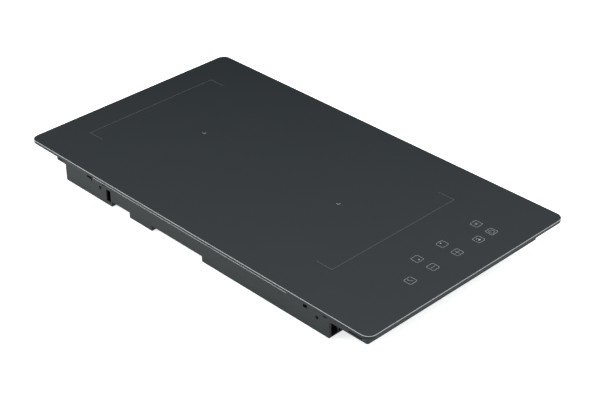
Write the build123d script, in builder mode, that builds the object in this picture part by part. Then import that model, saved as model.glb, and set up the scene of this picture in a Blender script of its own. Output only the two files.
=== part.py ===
from build123d import *
from math import cos, radians, sin, sqrt
import os

# Two-zone drop-in induction hob. Millimetres, +Z up, +X to the user's right, +Y to the rear.
# The origin is on the underside of the housing, below the centre of the glass.

# ---- glass and outer envelope ----
glass_width = 290.0
glass_depth = 520.0
glass_thickness = 4.0
glass_corner_radius = 10.0
glass_bevel = 0.8
glass_arris = 0.5
overall_height = 47.5

# ---- worktop seal and bond ----
seal_inset = 3.0
seal_width = 8.0
seal_thickness = 2.0
seal_outer_radius = 8.0
seal_inner_radius = 2.0
bond_thickness = 0.5
bond_width = 5.0
bond_inset = 1.0
bond_outer_radius = 1.5
bond_inner_radius = 0.5

# ---- lower housing ----
worktop_overhang = 19.0
housing_corner_radius = 2.5
wall = 2.0
tray_drop = 27.0
rim_drop = 23.5
deep_front_setback = 50.5
deep_rear_setback = 17.0
rear_block_length = 81.0
small_pocket_length = 31.0
middle_block_length = 37.0
large_pocket_length = 81.0
pocket_depth = 34.0
pocket_height = 7.0
base_edge_radius = 1.0
rim_bevel = 0.8
cut_overrun = 1.0
same_place = 0.01
raised_rear_wall = 89.0
raised_rib = 5.0
raised_rib_from_rear = 203.5
raised_front_pad_start = 53.0
raised_front_pad_length = 33.5
raised_front_corner = 31.0
intake_slit = 3.2
intake_slit_pitch = 6.0
intake_slit_count = 9
intake_spine = 3.0
outlet_width = 9.1
outlet_pitch = 10.3
outlet_count = 24
outlet_sill = 2.0
outlet_lintel = 1.0
floor_vent_length = 26.0
floor_vent_width = 3.0
floor_vent_pitch = 6.5
floor_vent_rows = 12
floor_vent_columns = 2
floor_vent_column_pitch = 34.0
floor_panel_depth = 0.6
floor_panel_margin = 8.0
floor_panel_rib = 14.0
floor_panel_corner = 5.0

# ---- upper frame ----
frame_gap = 0.2
frame_wall = 2.0
glue_land_width = 7.0
glue_land_thickness = 2.0
land_corner_radius = 2.0
frame_floor_gap = 0.1
boss_radius = 4.0
boss_wall_reach = 11.8
boss_wall_bite = 0.5
plate_boss_inset = 2.0
housing_boss_front_gap = 8.5
housing_boss_rear_gap = 6.5

# ---- screws ----
screw_shank = 1.45
screw_pilot = 1.5
screw_head = 3.0
screw_head_height = 1.9
screw_drive_width = 0.9
screw_drive_depth = 1.0
board_screw_bite = 2.6
housing_screw_bite = 8.0
plate_screw_bite = 7.5
blower_screw_length = 8.0
pilot_depth = 9.0
screw_head_edge = 0.6
screw_drive_span = 3.6

# ---- clip fixings in the side walls ----
clip_hole_radius = 2.0
clip_hole_height = 17.0
clip_hole_rear_from_rear = 79.0
clip_hole_front_from_front = 67.0
clip_boss_radius = 4.5
clip_boss_length = 4.0
slot_height = 9.0
slot_clearance = 1.0
rear_large_slot_sill = 21.2
rear_large_slot_length = 8.5
rear_large_slot_offset = 18.2
front_large_slot_sill = 20.3
front_large_slot_length = 5.5
front_large_slot_offset = 16.3
small_slot_sill = 22.5
small_slot_length = 5.0
rear_small_slot_offset = 7.5
front_small_slot_offset = 10.7
slot_stem_width = 1.2
slot_stem_sill = 18.6
rear_end_slot_length = 8.0
rear_end_slot_from_rear = 8.2
front_end_slot_length = 17.5
front_end_slot_from_front = 16.0
side_vent_width = 7.5
side_vent_height = 14.0
side_vent_sill = 5.5
side_vent_from_block_end = 1.0

# ---- coil stack ----
coil_plate_thickness = 1.2
coil_plate_gap = 15.5
coil_plate_side_gap = 2.8
coil_plate_margin = 2.0
coil_plate_corner = 4.0
plate_slot_circle = 43.0
plate_slot_count = 4
plate_slot_length = 16.0
plate_slot_width = 7.0
rear_coil_from_rear = 129.0
front_coil_from_front = 181.0
winding_turns = 21
winding_pitch = 3.2
winding_wire = 3.4
winding_inner_radius = 22.0
mica_thickness = 0.8
former_thickness = 2.0
former_margin = 3.0
former_hub_radius = 19.0
former_window_count = 8
former_window_circle = 41.0
former_window_length = 26.0
former_window_width = 9.0
former_collar_wall = 2.0
former_rib_drop = 0.4
former_rib_width = 1.6
former_rib_length = 9.0
former_rib_inset = 1.0
ferrite_length = 58.0
ferrite_width = 12.0
ferrite_thickness = 5.0
ferrite_inner_radius = 24.0
ferrite_corner = 1.0
sensor_hole_radius = 7.0
sensor_boot_radius = 6.0
sensor_foot_radius = 10.0
sensor_foot_height = 2.0
sensor_shoulder_height = 4.0
sensor_bore_step = 6.0
sensor_lip = 1.5
sensor_chamfer = 1.0
sensor_tip_radius = 3.0
sensor_tip_thickness = 1.2
bumper_radius = 4.5
bumper_waist = 3.2
bumper_inset = 1.0
bumper_count = 4
lead_hole_radius = 7.0
lead_hole_from_plate_edge = 15.0

# ---- power board ----
board_thickness = 1.6
board_height = 6.0
board_side_gap = 2.0
board_end_gap = 4.0
board_hole_radius = 1.7
board_hole_inset = 6.0
board_boss_radius = 3.5
board_corner = 2.0
heat_sink_width = 48.0
heat_sink_length = 150.0
heat_sink_base = 3.0
heat_sink_height = 13.0
heat_sink_fins = 9
heat_sink_fin = 1.4
heat_sink_leg = 6.0
heat_sink_rear_gap = 6.0
heat_sink_from_blower = 24.5
package_height = 5.0
package_width = 16.0
package_length = 21.0
package_pitch = 27.0
package_leads = 3
package_lead_pitch = 5.4
package_lead_width = 1.2
package_lead_length = 5.0
package_lead_thickness = 0.8
package_lead_bite = 0.5
package_count = 5
package_from_leg = 2.0
film_capacitor_size = (20.0, 32.0, 17.0)
film_capacitor_pitch = 38.0
film_capacitor_count = 3
film_capacitor_side_shift = 6.0
film_capacitor_rear_gap = 34.0
electrolytic_radius = 6.0
electrolytic_height = 16.0
electrolytic_pitch = 15.0
electrolytic_count = 3
electrolytic_from_side = 54.0
electrolytic_from_front = 16.0
score_width = 0.7
score_length = 7.0
score_depth = 0.3
choke_radius = 15.0
choke_hole_radius = 7.5
choke_height = 9.0
choke_wire = 1.0
choke_wire_gap = 0.15
choke_stand_off = 0.6
choke_turns = 12
choke_posts = 4
choke_from_side = 24.0
choke_from_front = 28.0
transformer_size = (22.0, 20.0, 16.0)
transformer_limb = 4.0
transformer_drum_inset = 2.5
transformer_from_side = 20.0
front_row_from_front = 20.0
relay_size = (13.0, 29.0, 15.5)
relay_inset = 10.0
fuse_radius = 3.0
fuse_tube_radius = 2.6
fuse_cap_length = 5.0
fuse_length = 20.0
fuse_from_heat_sink = 10.0
component_edge = 0.8
fine_edge = 0.5
terminal_post_radius = 3.0
terminal_post_height = 6.0
terminal_post_from_side = 5.0
rear_terminal_from_board_end = 22.0

# ---- blower ----
blower_x = -22.0
blower_from_rear = 49.0
blower_wall = 1.6
blower_outer_radius = 45.0
blower_height = 22.0
blower_outlet_length = 47.0
intake_radius = 27.0
impeller_radius = 32.0
impeller_plate = 1.5
impeller_ring_width = 5.0
impeller_blades = 30
impeller_blade = 1.2
impeller_blade_length = 6.0
impeller_blade_lean = 35.0
impeller_floor_gap = 2.4
impeller_height = 14.0
impeller_boss_gap = 0.6
hub_radius = 15.0
hub_wall = 1.5
shaft_radius = 1.5
bearing_running_gap = 0.05
bearing_radius = 3.0
bearing_tube_radius = 4.2
stator_radius = 11.0
stator_poles = 6
stator_height = 7.0
stator_arm = 2.6
stator_coil = 1.3
magnet_gap = 0.6
magnet_floor_gap = 0.5
magnet_top_gap = 3.0
shaft_end_gap = 1.0
bearing_lift = 2.5
stator_lift = 0.5
stator_rim = 1.2
stator_slot_length = 6.0
stator_slot_width = 1.6
stator_winding_inset = 2.0
stator_winding_end = 1.6
stator_winding_build = 1.6
fan_board_radius = 11.0
fan_board_thickness = 1.0
ring_edge = 0.15
blower_outlet_overrun = 4.0
blower_ear_radius = 5.0
blower_ear_reach = 3.3
blower_ear_angles = (125.0, 190.0, 20.0)
blower_boss_radius = 3.0

# ---- mains terminals ----
terminal_poles = 5
terminal_pitch = 9.0
terminal_block_depth = 22.0
terminal_block_height = 17.0
terminal_x = 74.0
terminal_from_rear = 63.0
terminal_channel_radius = 2.4
terminal_end_wall = 1.5
terminal_corner = 1.5
terminal_driver_radius = 2.3
clamp_gap = 0.1
clamp_size = (6.4, 10.0, 7.0)
clamp_bore_radius = 1.9
clamp_bore_drop = 0.6
clamp_thread_radius = 1.3
clamp_screw_radius = 1.25
clamp_screw_reach = 1.5
clamp_screw_head_radius = 2.1
clamp_screw_head_height = 2.2
clamp_screw_head_sink = 0.8
clamp_screw_slot = (4.4, 0.8)
clamp_screw_slot_depth = 0.9
clamp_centre_height = 9.0
grommet_hole_radius = 6.5
grommet_flange_radius = 8.0
grommet_bore_radius = 4.5
grommet_flange_thickness = 2.0
grommet_taper = 1.0
grommet_height = 12.0

# ---- touch controls ----
key_row_rear_from_front = 55.5
key_row_front_from_front = 35.5
rear_row_keys = (71.0, 19.0, -18.0)
front_row_keys = (71.0, 51.0, 18.5, -17.5, -50.0)
touch_post_radius = 4.5
touch_post_waist = 3.6
control_board_top_gap = 5.9
carrier_half_width = 106.0
carrier_rear_from_front = 70.0
carrier_front_from_front = 26.0
carrier_wall = 1.6
carrier_floor_gap = 1.4
carrier_corner = 3.0
control_board_corner = 1.5
control_board_gap = 0.4
control_screw_inset = 8.0
lamp_size = (1.6, 0.8, 0.7)
lamp_from_post = 2.5
chip_x = -74.0
chip_size = 12.0
chip_thickness = 1.4
chip_edge = 0.3
chip_pins = 8
chip_pin_pitch = 1.25
chip_pin_size = (0.5, 2.0)
chip_pin_thickness = 0.3
buzzer_x = -50.0
buzzer_radius = 6.0
buzzer_height = 2.4
buzzer_hole_radius = 1.0
buzzer_hole_depth = 1.0

# ---- internal leads ----
coil_lead_radius = 1.5
coil_lead_spacing = 7.0
coil_lead_start_gap = 0.5
coil_lead_travel = 6.0
coil_lead_bend = 4.5
coil_lead_end_bend = 4.0
mains_lead_radius = 1.3
mains_lead_count = 3
mains_lead_entry = 8.0
mains_lead_straight = 14.0
mains_lead_climb = 5.0
mains_lead_approach = 22.0
mains_lead_from_side = 30.0
mains_lead_pitch = 9.0
mains_lead_from_board_end = 8.0
mains_lead_bends = [8.0, 8.0, 4.0]
fan_lead_radius = 1.0
fan_lead_offset = 7.6
fan_lead_hole_gap = 0.5
fan_lead_lift = 0.8
fan_lead_jog = (12.0, 14.0)
fan_lead_side_gap = 4.0
fan_lead_side_run = 32.0
fan_lead_from_board_end = 10.0
fan_lead_bends = [1.5, 8.0, 8.0, 5.0]
ribbon_width = 16.0
ribbon_thickness = 1.0
ribbon_x = -12.0
ribbon_from_carrier_rear = 12.0
ribbon_drop = 2.5
ribbon_from_board_front = 2.5
ribbon_bend = 3.0
ribbon_slot_gap = 2.0
ribbon_slot_length = 6.0

# ---- worked-out sizes ----
glass_top = overall_height
glass_under = glass_top - glass_thickness
frame_top = glass_under - bond_thickness
housing_width = glass_width - 2 * worktop_overhang
housing_depth = glass_depth - 2 * worktop_overhang
half_width = housing_width / 2
half_depth = housing_depth / 2
tray_under = glass_top - tray_drop
tray_floor = tray_under + wall
rim_top = glass_top - rim_drop
deep_front = -half_depth + deep_front_setback
deep_rear = half_depth - deep_rear_setback
deep_length = deep_rear - deep_front
deep_middle = (deep_rear + deep_front) / 2
floor_panel_half_width = half_width - pocket_depth - wall - floor_panel_margin
small_pocket_rear = deep_rear - rear_block_length
small_pocket_front = small_pocket_rear - small_pocket_length
large_pocket_rear = small_pocket_front - middle_block_length
large_pocket_front = large_pocket_rear - large_pocket_length
pockets = ((small_pocket_front, small_pocket_rear), (large_pocket_front, large_pocket_rear))
clip_hole_rear = half_depth - clip_hole_rear_from_rear
clip_hole_front = -half_depth + clip_hole_front_from_front

frame_half_width = half_width - wall - frame_gap
frame_half_depth = half_depth - wall - frame_gap
frame_inner_half_width = frame_half_width - frame_wall
frame_inner_half_depth = frame_half_depth - frame_wall
land_half_width = frame_half_width - glue_land_width
land_half_depth = frame_half_depth - glue_land_width
land_under = frame_top - glue_land_thickness
boss_x = frame_half_width - boss_wall_reach
frame_under = tray_floor + frame_floor_gap

coil_plate_top = glass_under - coil_plate_gap + coil_plate_thickness
coil_plate_under = coil_plate_top - coil_plate_thickness
coil_plate_half_width = frame_inner_half_width - coil_plate_side_gap
rear_coil_y = glass_depth / 2 - rear_coil_from_rear
front_coil_y = -glass_depth / 2 + front_coil_from_front
winding_outer_radius = winding_inner_radius + winding_turns * winding_pitch
mica_under = glass_under - mica_thickness
winding_under = mica_under - winding_wire
former_under = winding_under - former_thickness
former_radius = winding_outer_radius + former_margin
lead_hole_x = -(coil_plate_half_width - lead_hole_from_plate_edge)
ferrite_under = former_under - ferrite_thickness

board_top = board_height + board_thickness
board_half_width = half_width - pocket_depth - wall - board_side_gap
board_front = deep_front + wall + board_end_gap
blower_y = deep_rear - blower_from_rear
blower_front = blower_y - blower_outlet_length
board_rear = blower_front - board_end_gap
board_length = board_rear - board_front
board_middle = (board_rear + board_front) / 2
package_under = board_top
heat_sink_under = package_under + package_height
heat_sink_rear = board_rear - heat_sink_rear_gap
heat_sink_x = blower_x + heat_sink_from_blower
heat_sink_middle = heat_sink_rear - heat_sink_length / 2
coil_terminal_x = -board_half_width + terminal_post_from_side
rear_terminal_y = board_rear - rear_terminal_from_board_end

blower_floor = wall
blower_top = blower_floor + blower_height
cover_under = blower_top - blower_wall
impeller_under = blower_floor + blower_wall + impeller_floor_gap
impeller_top = impeller_under + impeller_height
bearing_bore = shaft_radius + bearing_running_gap
bearing_under = impeller_under + impeller_plate + bearing_lift
stator_under = bearing_under + stator_lift
magnet_inner_radius = stator_radius + magnet_gap
magnet_outer_radius = hub_radius - hub_wall

terminal_y = half_depth - terminal_from_rear
terminal_block_width = terminal_poles * terminal_pitch + 2 * terminal_end_wall
terminal_front = terminal_y - terminal_block_depth / 2

key_row_rear = -glass_depth / 2 + key_row_rear_from_front
key_row_front = -glass_depth / 2 + key_row_front_from_front
keys = [(x, key_row_rear) for x in rear_row_keys] + [(x, key_row_front) for x in front_row_keys]
control_board_top = glass_under - control_board_top_gap
control_board_under = control_board_top - board_thickness
carrier_under = control_board_under - carrier_floor_gap - carrier_wall
carrier_rear = -glass_depth / 2 + carrier_rear_from_front
carrier_front = -glass_depth / 2 + carrier_front_from_front
carrier_middle = (carrier_rear + carrier_front) / 2
carrier_length = carrier_rear - carrier_front
control_board_half_width = carrier_half_width - carrier_wall - control_board_gap
control_board_length = carrier_length - 2 * carrier_wall - 2 * control_board_gap
ribbon_start_y = carrier_rear - ribbon_from_carrier_rear


def finish(piece, name):
    """Label a finished piece and write it as its own file."""
    piece.part.label = name
    export_step(piece.part, f"parts/{name}.step")


def rounded_frame(low, height, outer, inner, outer_radius, inner_radius):
    """A rectangular ring with rounded corners, from its outer and inner half sizes."""
    with BuildPart() as ring:
        with BuildSketch(Plane.XY.offset(low)):
            RectangleRounded(2 * outer[0], 2 * outer[1], outer_radius)
            RectangleRounded(2 * inner[0], 2 * inner[1], inner_radius, mode=Mode.SUBTRACT)
        extrude(amount=height)
    return ring


def screw_set(places, seat, shank_length, head_above):
    """Pan-head screws with a cross drive; the head stands above or below its seat."""
    way = 1 if head_above else -1
    plane = Plane(origin=(0, 0, seat), x_dir=(1, 0, 0), z_dir=(0, 0, way))
    drive_plane = plane.offset(screw_head_height)
    # The plane's Y runs backwards when the head hangs below.
    spots = [(x, way * y) for x, y in places]
    with BuildPart() as screws:
        with BuildSketch(plane):
            with Locations(*spots):
                Circle(screw_head)
        extrude(amount=screw_head_height)
        head_faces = screws.faces().filter_by(Axis.Z).group_by(Axis.Z)[-1 if head_above else 0]
        fillet(head_faces.edges(), screw_head_edge)
        with BuildSketch(plane):
            with Locations(*spots):
                Circle(screw_shank)
        extrude(amount=-shank_length)
        with BuildSketch(drive_plane):
            with Locations(*spots):
                Rectangle(screw_drive_span, screw_drive_width)
                Rectangle(screw_drive_width, screw_drive_span)
        extrude(amount=-screw_drive_depth, mode=Mode.SUBTRACT)
    return screws


def tube_run(points, bends, radius):
    """A round lead along straight runs joined by tangent arcs."""
    with BuildPart() as lead:
        with BuildLine() as route:
            FilletPolyline(*points, radius=bends)
        with BuildSketch(Plane(origin=route.line @ 0, z_dir=route.line % 0)):
            Circle(radius)
        sweep(path=route.line)
    return lead.part


# ---- glass, seal and bond ----


def make_glass_plate():
    with BuildPart() as glass_plate:
        with BuildSketch(Plane.XY.offset(glass_under)):
            RectangleRounded(glass_width, glass_depth, glass_corner_radius)
        extrude(amount=glass_thickness)
        chamfer(glass_plate.faces().sort_by(Axis.Z)[-1].edges(), glass_bevel)
        chamfer(glass_plate.faces().sort_by(Axis.Z)[0].edges(), glass_arris)
    finish(glass_plate, "glass_plate")


def make_worktop_seal():
    outer = (glass_width / 2 - seal_inset, glass_depth / 2 - seal_inset)
    inner = (outer[0] - seal_width, outer[1] - seal_width)
    low = glass_under - seal_thickness
    worktop_seal = rounded_frame(low, seal_thickness, outer, inner, seal_outer_radius, seal_inner_radius)
    finish(worktop_seal, "worktop_seal")


def make_bond_bead():
    outer = (frame_half_width - bond_inset, frame_half_depth - bond_inset)
    inner = (outer[0] - bond_width, outer[1] - bond_width)
    bond_bead = rounded_frame(frame_top, bond_thickness, outer, inner, bond_outer_radius, bond_inner_radius)
    finish(bond_bead, "bond_bead")


# ---- upper frame ----


def plate_boss_places():
    rear = rear_coil_y + former_radius - plate_boss_inset
    front = front_coil_y - former_radius + plate_boss_inset
    middle = (rear_coil_y + front_coil_y) / 2
    return [(side * boss_x, y) for side in (-1, 1) for y in (front, middle, rear)]


def housing_boss_places():
    front = -frame_inner_half_depth + housing_boss_front_gap
    rear = frame_inner_half_depth - housing_boss_rear_gap
    return [(-boss_x, front), (boss_x, front), (-boss_x, rear), (boss_x, rear), (0, rear)]


def frame_bosses(places, low):
    """Solid bosses, each tied to the nearest wall, before their pilot holes."""
    with BuildPart() as bosses:
        with BuildSketch(Plane.XY.offset(low)):
            with Locations(*places):
                Circle(boss_radius)
            for x, y in places:
                if x:
                    reach = frame_half_width - boss_wall_bite - abs(x)
                    with Locations((x + reach / 2 if x > 0 else x - reach / 2, y)):
                        Rectangle(reach, boss_radius)
                else:
                    reach = frame_half_depth - boss_wall_bite - y
                    with Locations((x, y + reach / 2)):
                        Rectangle(boss_radius, reach)
        extrude(amount=land_under - low + boss_wall_bite)
    return bosses.part


def wall_cutters(outside, thickness, middle, length, sill, height):
    """Blocks that open both side walls, whose outer faces lie at `outside`, from a sill upwards."""
    with BuildPart() as cutters:
        for side in (-1, 1):
            with Locations((side * (outside - thickness / 2), middle, sill + height / 2)):
                Box(thickness, length, height)
    return cutters.part


def side_slots():
    """Every slot in the side walls: its middle along Y, its length and its sill height."""
    rear_end = half_depth - rear_end_slot_from_rear
    front_end = -half_depth + front_end_slot_from_front
    return [
        (rear_end, rear_end_slot_length, small_slot_sill),
        (front_end, front_end_slot_length, small_slot_sill),
        (clip_hole_rear + rear_large_slot_offset, rear_large_slot_length, rear_large_slot_sill),
        (clip_hole_rear - rear_small_slot_offset, small_slot_length, small_slot_sill),
        (clip_hole_front + front_large_slot_offset, front_large_slot_length, front_large_slot_sill),
        (clip_hole_front - front_small_slot_offset, small_slot_length, small_slot_sill),
    ]


def make_upper_frame():
    outer = (frame_half_width, frame_half_depth)
    with BuildPart() as upper_frame:
        with BuildSketch(Plane.XY.offset(frame_under)):
            RectangleRounded(2 * outer[0], 2 * outer[1], housing_corner_radius - wall)
            Rectangle(2 * frame_inner_half_width, 2 * frame_inner_half_depth, mode=Mode.SUBTRACT)
        extrude(amount=frame_top - frame_under)
        with BuildSketch(Plane.XY.offset(land_under)):
            RectangleRounded(2 * outer[0], 2 * outer[1], housing_corner_radius - wall)
            RectangleRounded(2 * land_half_width, 2 * land_half_depth, land_corner_radius, mode=Mode.SUBTRACT)
        extrude(amount=glue_land_thickness)
        add(frame_bosses(plate_boss_places(), coil_plate_top))
        add(frame_bosses(housing_boss_places(), frame_under))
        with BuildSketch(Plane.XY.offset(coil_plate_top)):
            with Locations(*plate_boss_places()):
                Circle(screw_pilot)
        extrude(amount=pilot_depth, mode=Mode.SUBTRACT)
        with BuildSketch(Plane.XY.offset(tray_floor)):
            with Locations(*housing_boss_places()):
                Circle(screw_pilot)
        extrude(amount=pilot_depth, mode=Mode.SUBTRACT)
        # The slots go through the frame wall as well, a little larger than in the housing.
        cut_outside = frame_half_width + slot_clearance / 2
        cut_thickness = frame_half_width - frame_inner_half_width + slot_clearance
        for middle, length, sill in side_slots():
            size = (length + slot_clearance, sill - slot_clearance / 2, slot_height + slot_clearance)
            add(wall_cutters(cut_outside, cut_thickness, middle, *size), mode=Mode.SUBTRACT)
    finish(upper_frame, "upper_frame")


# ---- lower housing ----


def housing_outside():
    with BuildPart() as outside:
        with BuildSketch(Plane.XY.offset(tray_under)):
            RectangleRounded(housing_width, housing_depth, housing_corner_radius)
        extrude(amount=frame_top - tray_under)
        with BuildSketch(Plane.XY):
            with Locations((0, deep_middle)):
                Rectangle(housing_width, deep_length)
        extrude(amount=tray_under)
        for side in (-1, 1):
            for front, rear in pockets:
                x = side * (half_width - pocket_depth / 2)
                with Locations((x, (front + rear) / 2, pocket_height / 2)):
                    Box(pocket_depth, rear - front, pocket_height, mode=Mode.SUBTRACT)
        base_edges = outside.faces().sort_by(Axis.Z)[0].edges()
        fillet(base_edges, base_edge_radius)
    return outside.part


def housing_inside():
    """The hollow of the housing: shallow tray and deep box, less the pocket walls."""
    with BuildPart() as inside:
        with BuildSketch(Plane.XY.offset(tray_floor)):
            RectangleRounded(housing_width - 2 * wall, housing_depth - 2 * wall, housing_corner_radius - wall)
        extrude(amount=frame_top - tray_floor)
        with BuildSketch(Plane.XY.offset(wall)):
            with Locations((0, deep_middle)):
                Rectangle(housing_width - 2 * wall, deep_length - 2 * wall)
        extrude(amount=tray_floor - wall)
        for side in (-1, 1):
            for front, rear in pockets:
                x = side * (half_width - pocket_depth / 2)
                block = (pocket_depth + 2 * wall, rear - front + 2 * wall, pocket_height + wall)
                with Locations((x, (front + rear) / 2, (pocket_height + wall) / 2)):
                    Box(*block, mode=Mode.SUBTRACT)
    return inside.part


def lowered_rims():
    """Stretches of side wall, front to rear, where the rim drops and the frame shows behind it."""
    rib_rear = half_depth - raised_rib_from_rear + raised_rib / 2
    rib_front = rib_rear - raised_rib
    pad_front = -half_depth + raised_front_pad_start
    pad_rear = pad_front + raised_front_pad_length
    return [
        (-half_depth + raised_front_corner, pad_front),
        (pad_rear, rib_front),
        (rib_rear, half_depth - raised_rear_wall),
    ]


def board_boss_places():
    x = board_half_width - board_hole_inset
    front = board_front + board_hole_inset
    rear = board_rear - board_hole_inset
    return [(side * x, y) for side in (-1, 1) for y in (front, board_middle, rear)]


def blower_ear_places():
    reach = blower_outer_radius + blower_ear_reach
    turns = [radians(angle) for angle in blower_ear_angles]
    return [(blower_x + reach * cos(turn), blower_y + reach * sin(turn)) for turn in turns]


def floor_panels():
    """Front and rear edge of each sunk panel in the underside of the deep box, ahead of the blower."""
    front = deep_front + floor_panel_margin
    rear = blower_y - blower_outer_radius - floor_panel_margin
    middle = (front + rear) / 2
    return [(front, middle - floor_panel_rib / 2), (middle + floor_panel_rib / 2, rear)]


def make_lower_housing():
    with BuildPart() as lower_housing:
        add(housing_outside())
        add(housing_inside(), mode=Mode.SUBTRACT)
        for front, rear in lowered_rims():
            cut_height = frame_top + cut_overrun - rim_top
            with Locations((0, (front + rear) / 2, rim_top + cut_height / 2)):
                Box(housing_width + 2 * cut_overrun, rear - front, cut_height, mode=Mode.SUBTRACT)
        outer_rims = [
            edge
            for edge in lower_housing.edges().filter_by(Axis.Y)
            if abs(edge.center().Z - rim_top) < same_place and abs(abs(edge.center().X) - half_width) < same_place
        ]
        chamfer(outer_rims, rim_bevel)
        # bosses for the power board and the blower ears
        with BuildSketch(Plane.XY.offset(wall)):
            with Locations(*board_boss_places()):
                Circle(board_boss_radius)
        extrude(amount=board_height - wall)
        with BuildSketch(Plane.XY.offset(wall)):
            with Locations(*board_boss_places()):
                Circle(screw_pilot)
        extrude(amount=board_height, mode=Mode.SUBTRACT)
        with BuildSketch(Plane.XY.offset(wall)):
            with Locations(*blower_ear_places()):
                Circle(blower_boss_radius)
        extrude(amount=blower_height - blower_wall)
        with BuildSketch(Plane.XY.offset(2 * wall)):
            with Locations(*blower_ear_places()):
                Circle(screw_pilot)
        extrude(amount=blower_height, mode=Mode.SUBTRACT)
        # inner bosses behind the clip screw holes, then the holes through wall and boss
        for side in (-1, 1):
            boss_foot = (side * (half_width - wall), 0, 0)
            boss_plane = Plane(origin=boss_foot, x_dir=(0, side, 0), z_dir=(side, 0, 0))
            spots = [(side * y, clip_hole_height) for y in (clip_hole_rear, clip_hole_front)]
            with BuildSketch(boss_plane):
                with Locations(*spots):
                    Circle(clip_boss_radius)
            extrude(amount=-clip_boss_length)
            with BuildSketch(boss_plane.offset(wall)):
                with Locations(*spots):
                    Circle(clip_hole_radius)
            extrude(amount=-(wall + clip_boss_length), mode=Mode.SUBTRACT)
        # slots for the worktop clips, and the tall vent beside the rear block's end
        for middle, length, sill in side_slots():
            add(wall_cutters(half_width, wall, middle, length, sill, slot_height), mode=Mode.SUBTRACT)
        # a narrow stem runs down from the front end of the rear large slot
        stem_middle = clip_hole_rear + rear_large_slot_offset - (rear_large_slot_length - slot_stem_width) / 2
        stem_size = (slot_stem_width, slot_stem_sill, rear_large_slot_sill - slot_stem_sill)
        add(wall_cutters(half_width, wall, stem_middle, *stem_size), mode=Mode.SUBTRACT)
        vent_middle = small_pocket_rear + side_vent_from_block_end + side_vent_width / 2
        vent_size = (side_vent_width, side_vent_sill, side_vent_height)
        add(wall_cutters(half_width, wall, vent_middle, *vent_size), mode=Mode.SUBTRACT)
        # screw holes up through the shallow tray
        with BuildSketch(Plane.XY.offset(tray_under)):
            with Locations(*housing_boss_places()):
                Circle(board_hole_radius)
        extrude(amount=wall, mode=Mode.SUBTRACT)
        # striped air intake under the blower
        with BuildSketch(Plane.XY):
            with Locations((blower_x, blower_y)):
                with GridLocations(0, intake_slit_pitch, 1, intake_slit_count):
                    Rectangle(2 * intake_radius, intake_slit)
                Circle(intake_radius, mode=Mode.INTERSECT)
                Rectangle(intake_spine, 2 * intake_radius, mode=Mode.SUBTRACT)
        extrude(amount=wall, mode=Mode.SUBTRACT)
        # air outlet: a row of upright openings across the whole front face of the deep box
        outlet_height = tray_under - outlet_sill - outlet_lintel
        with BuildSketch(Plane.XZ.offset(-deep_front - wall)):
            with Locations((0, outlet_sill + outlet_height / 2)):
                with GridLocations(outlet_pitch, 0, outlet_count, 1):
                    Rectangle(outlet_width, outlet_height)
        extrude(amount=wall, mode=Mode.SUBTRACT)
        # air slits through the floor below the heat sink
        vent_grid = (floor_vent_column_pitch, floor_vent_pitch, floor_vent_columns, floor_vent_rows)
        with BuildSketch(Plane.XY):
            with Locations((heat_sink_x, heat_sink_middle)):
                with GridLocations(*vent_grid):
                    SlotOverall(floor_vent_length, floor_vent_width)
        extrude(amount=wall, mode=Mode.SUBTRACT)
        # shallow sunk panels leave stiffening bands across the underside
        for front, rear in floor_panels():
            with BuildSketch(Plane.XY):
                with Locations((0, (front + rear) / 2)):
                    RectangleRounded(2 * floor_panel_half_width, rear - front, floor_panel_corner)
            extrude(amount=floor_panel_depth, mode=Mode.SUBTRACT)
        # round hole for the cable grommet in the rear face
        with BuildSketch(Plane.XZ.offset(-deep_rear)):
            with Locations((terminal_x, grommet_height)):
                Circle(grommet_hole_radius)
        extrude(amount=wall, mode=Mode.SUBTRACT)
    finish(lower_housing, "lower_housing")


def make_housing_screws():
    housing_screws = screw_set(housing_boss_places(), tray_under, wall + housing_screw_bite, False)
    finish(housing_screws, "housing_screws")


# ---- coil plate and coils ----


def make_coil_plate():
    rear = rear_coil_y + former_radius + coil_plate_margin
    front = front_coil_y - former_radius - coil_plate_margin
    with BuildPart() as coil_plate:
        with BuildSketch(Plane.XY.offset(coil_plate_under)):
            with Locations((0, (rear + front) / 2)):
                RectangleRounded(2 * coil_plate_half_width, rear - front, coil_plate_corner)
            with Locations(*plate_boss_places()):
                Circle(board_hole_radius, mode=Mode.SUBTRACT)
            for coil_y, lead_y in ((rear_coil_y, rear_terminal_y), (front_coil_y, front_coil_y)):
                with Locations((0, coil_y)):
                    Circle(sensor_tip_radius, mode=Mode.SUBTRACT)
                    with PolarLocations(plate_slot_circle, plate_slot_count, start_angle=180 / plate_slot_count):
                        SlotOverall(plate_slot_length, plate_slot_width, mode=Mode.SUBTRACT)
                with Locations((lead_hole_x, lead_y)):
                    Circle(lead_hole_radius, mode=Mode.SUBTRACT)
        extrude(amount=coil_plate_thickness)
    finish(coil_plate, "coil_plate")
    screw_length = coil_plate_thickness + plate_screw_bite
    plate_screws = screw_set(plate_boss_places(), coil_plate_under, screw_length, False)
    finish(plate_screws, "coil_plate_screws")


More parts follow.
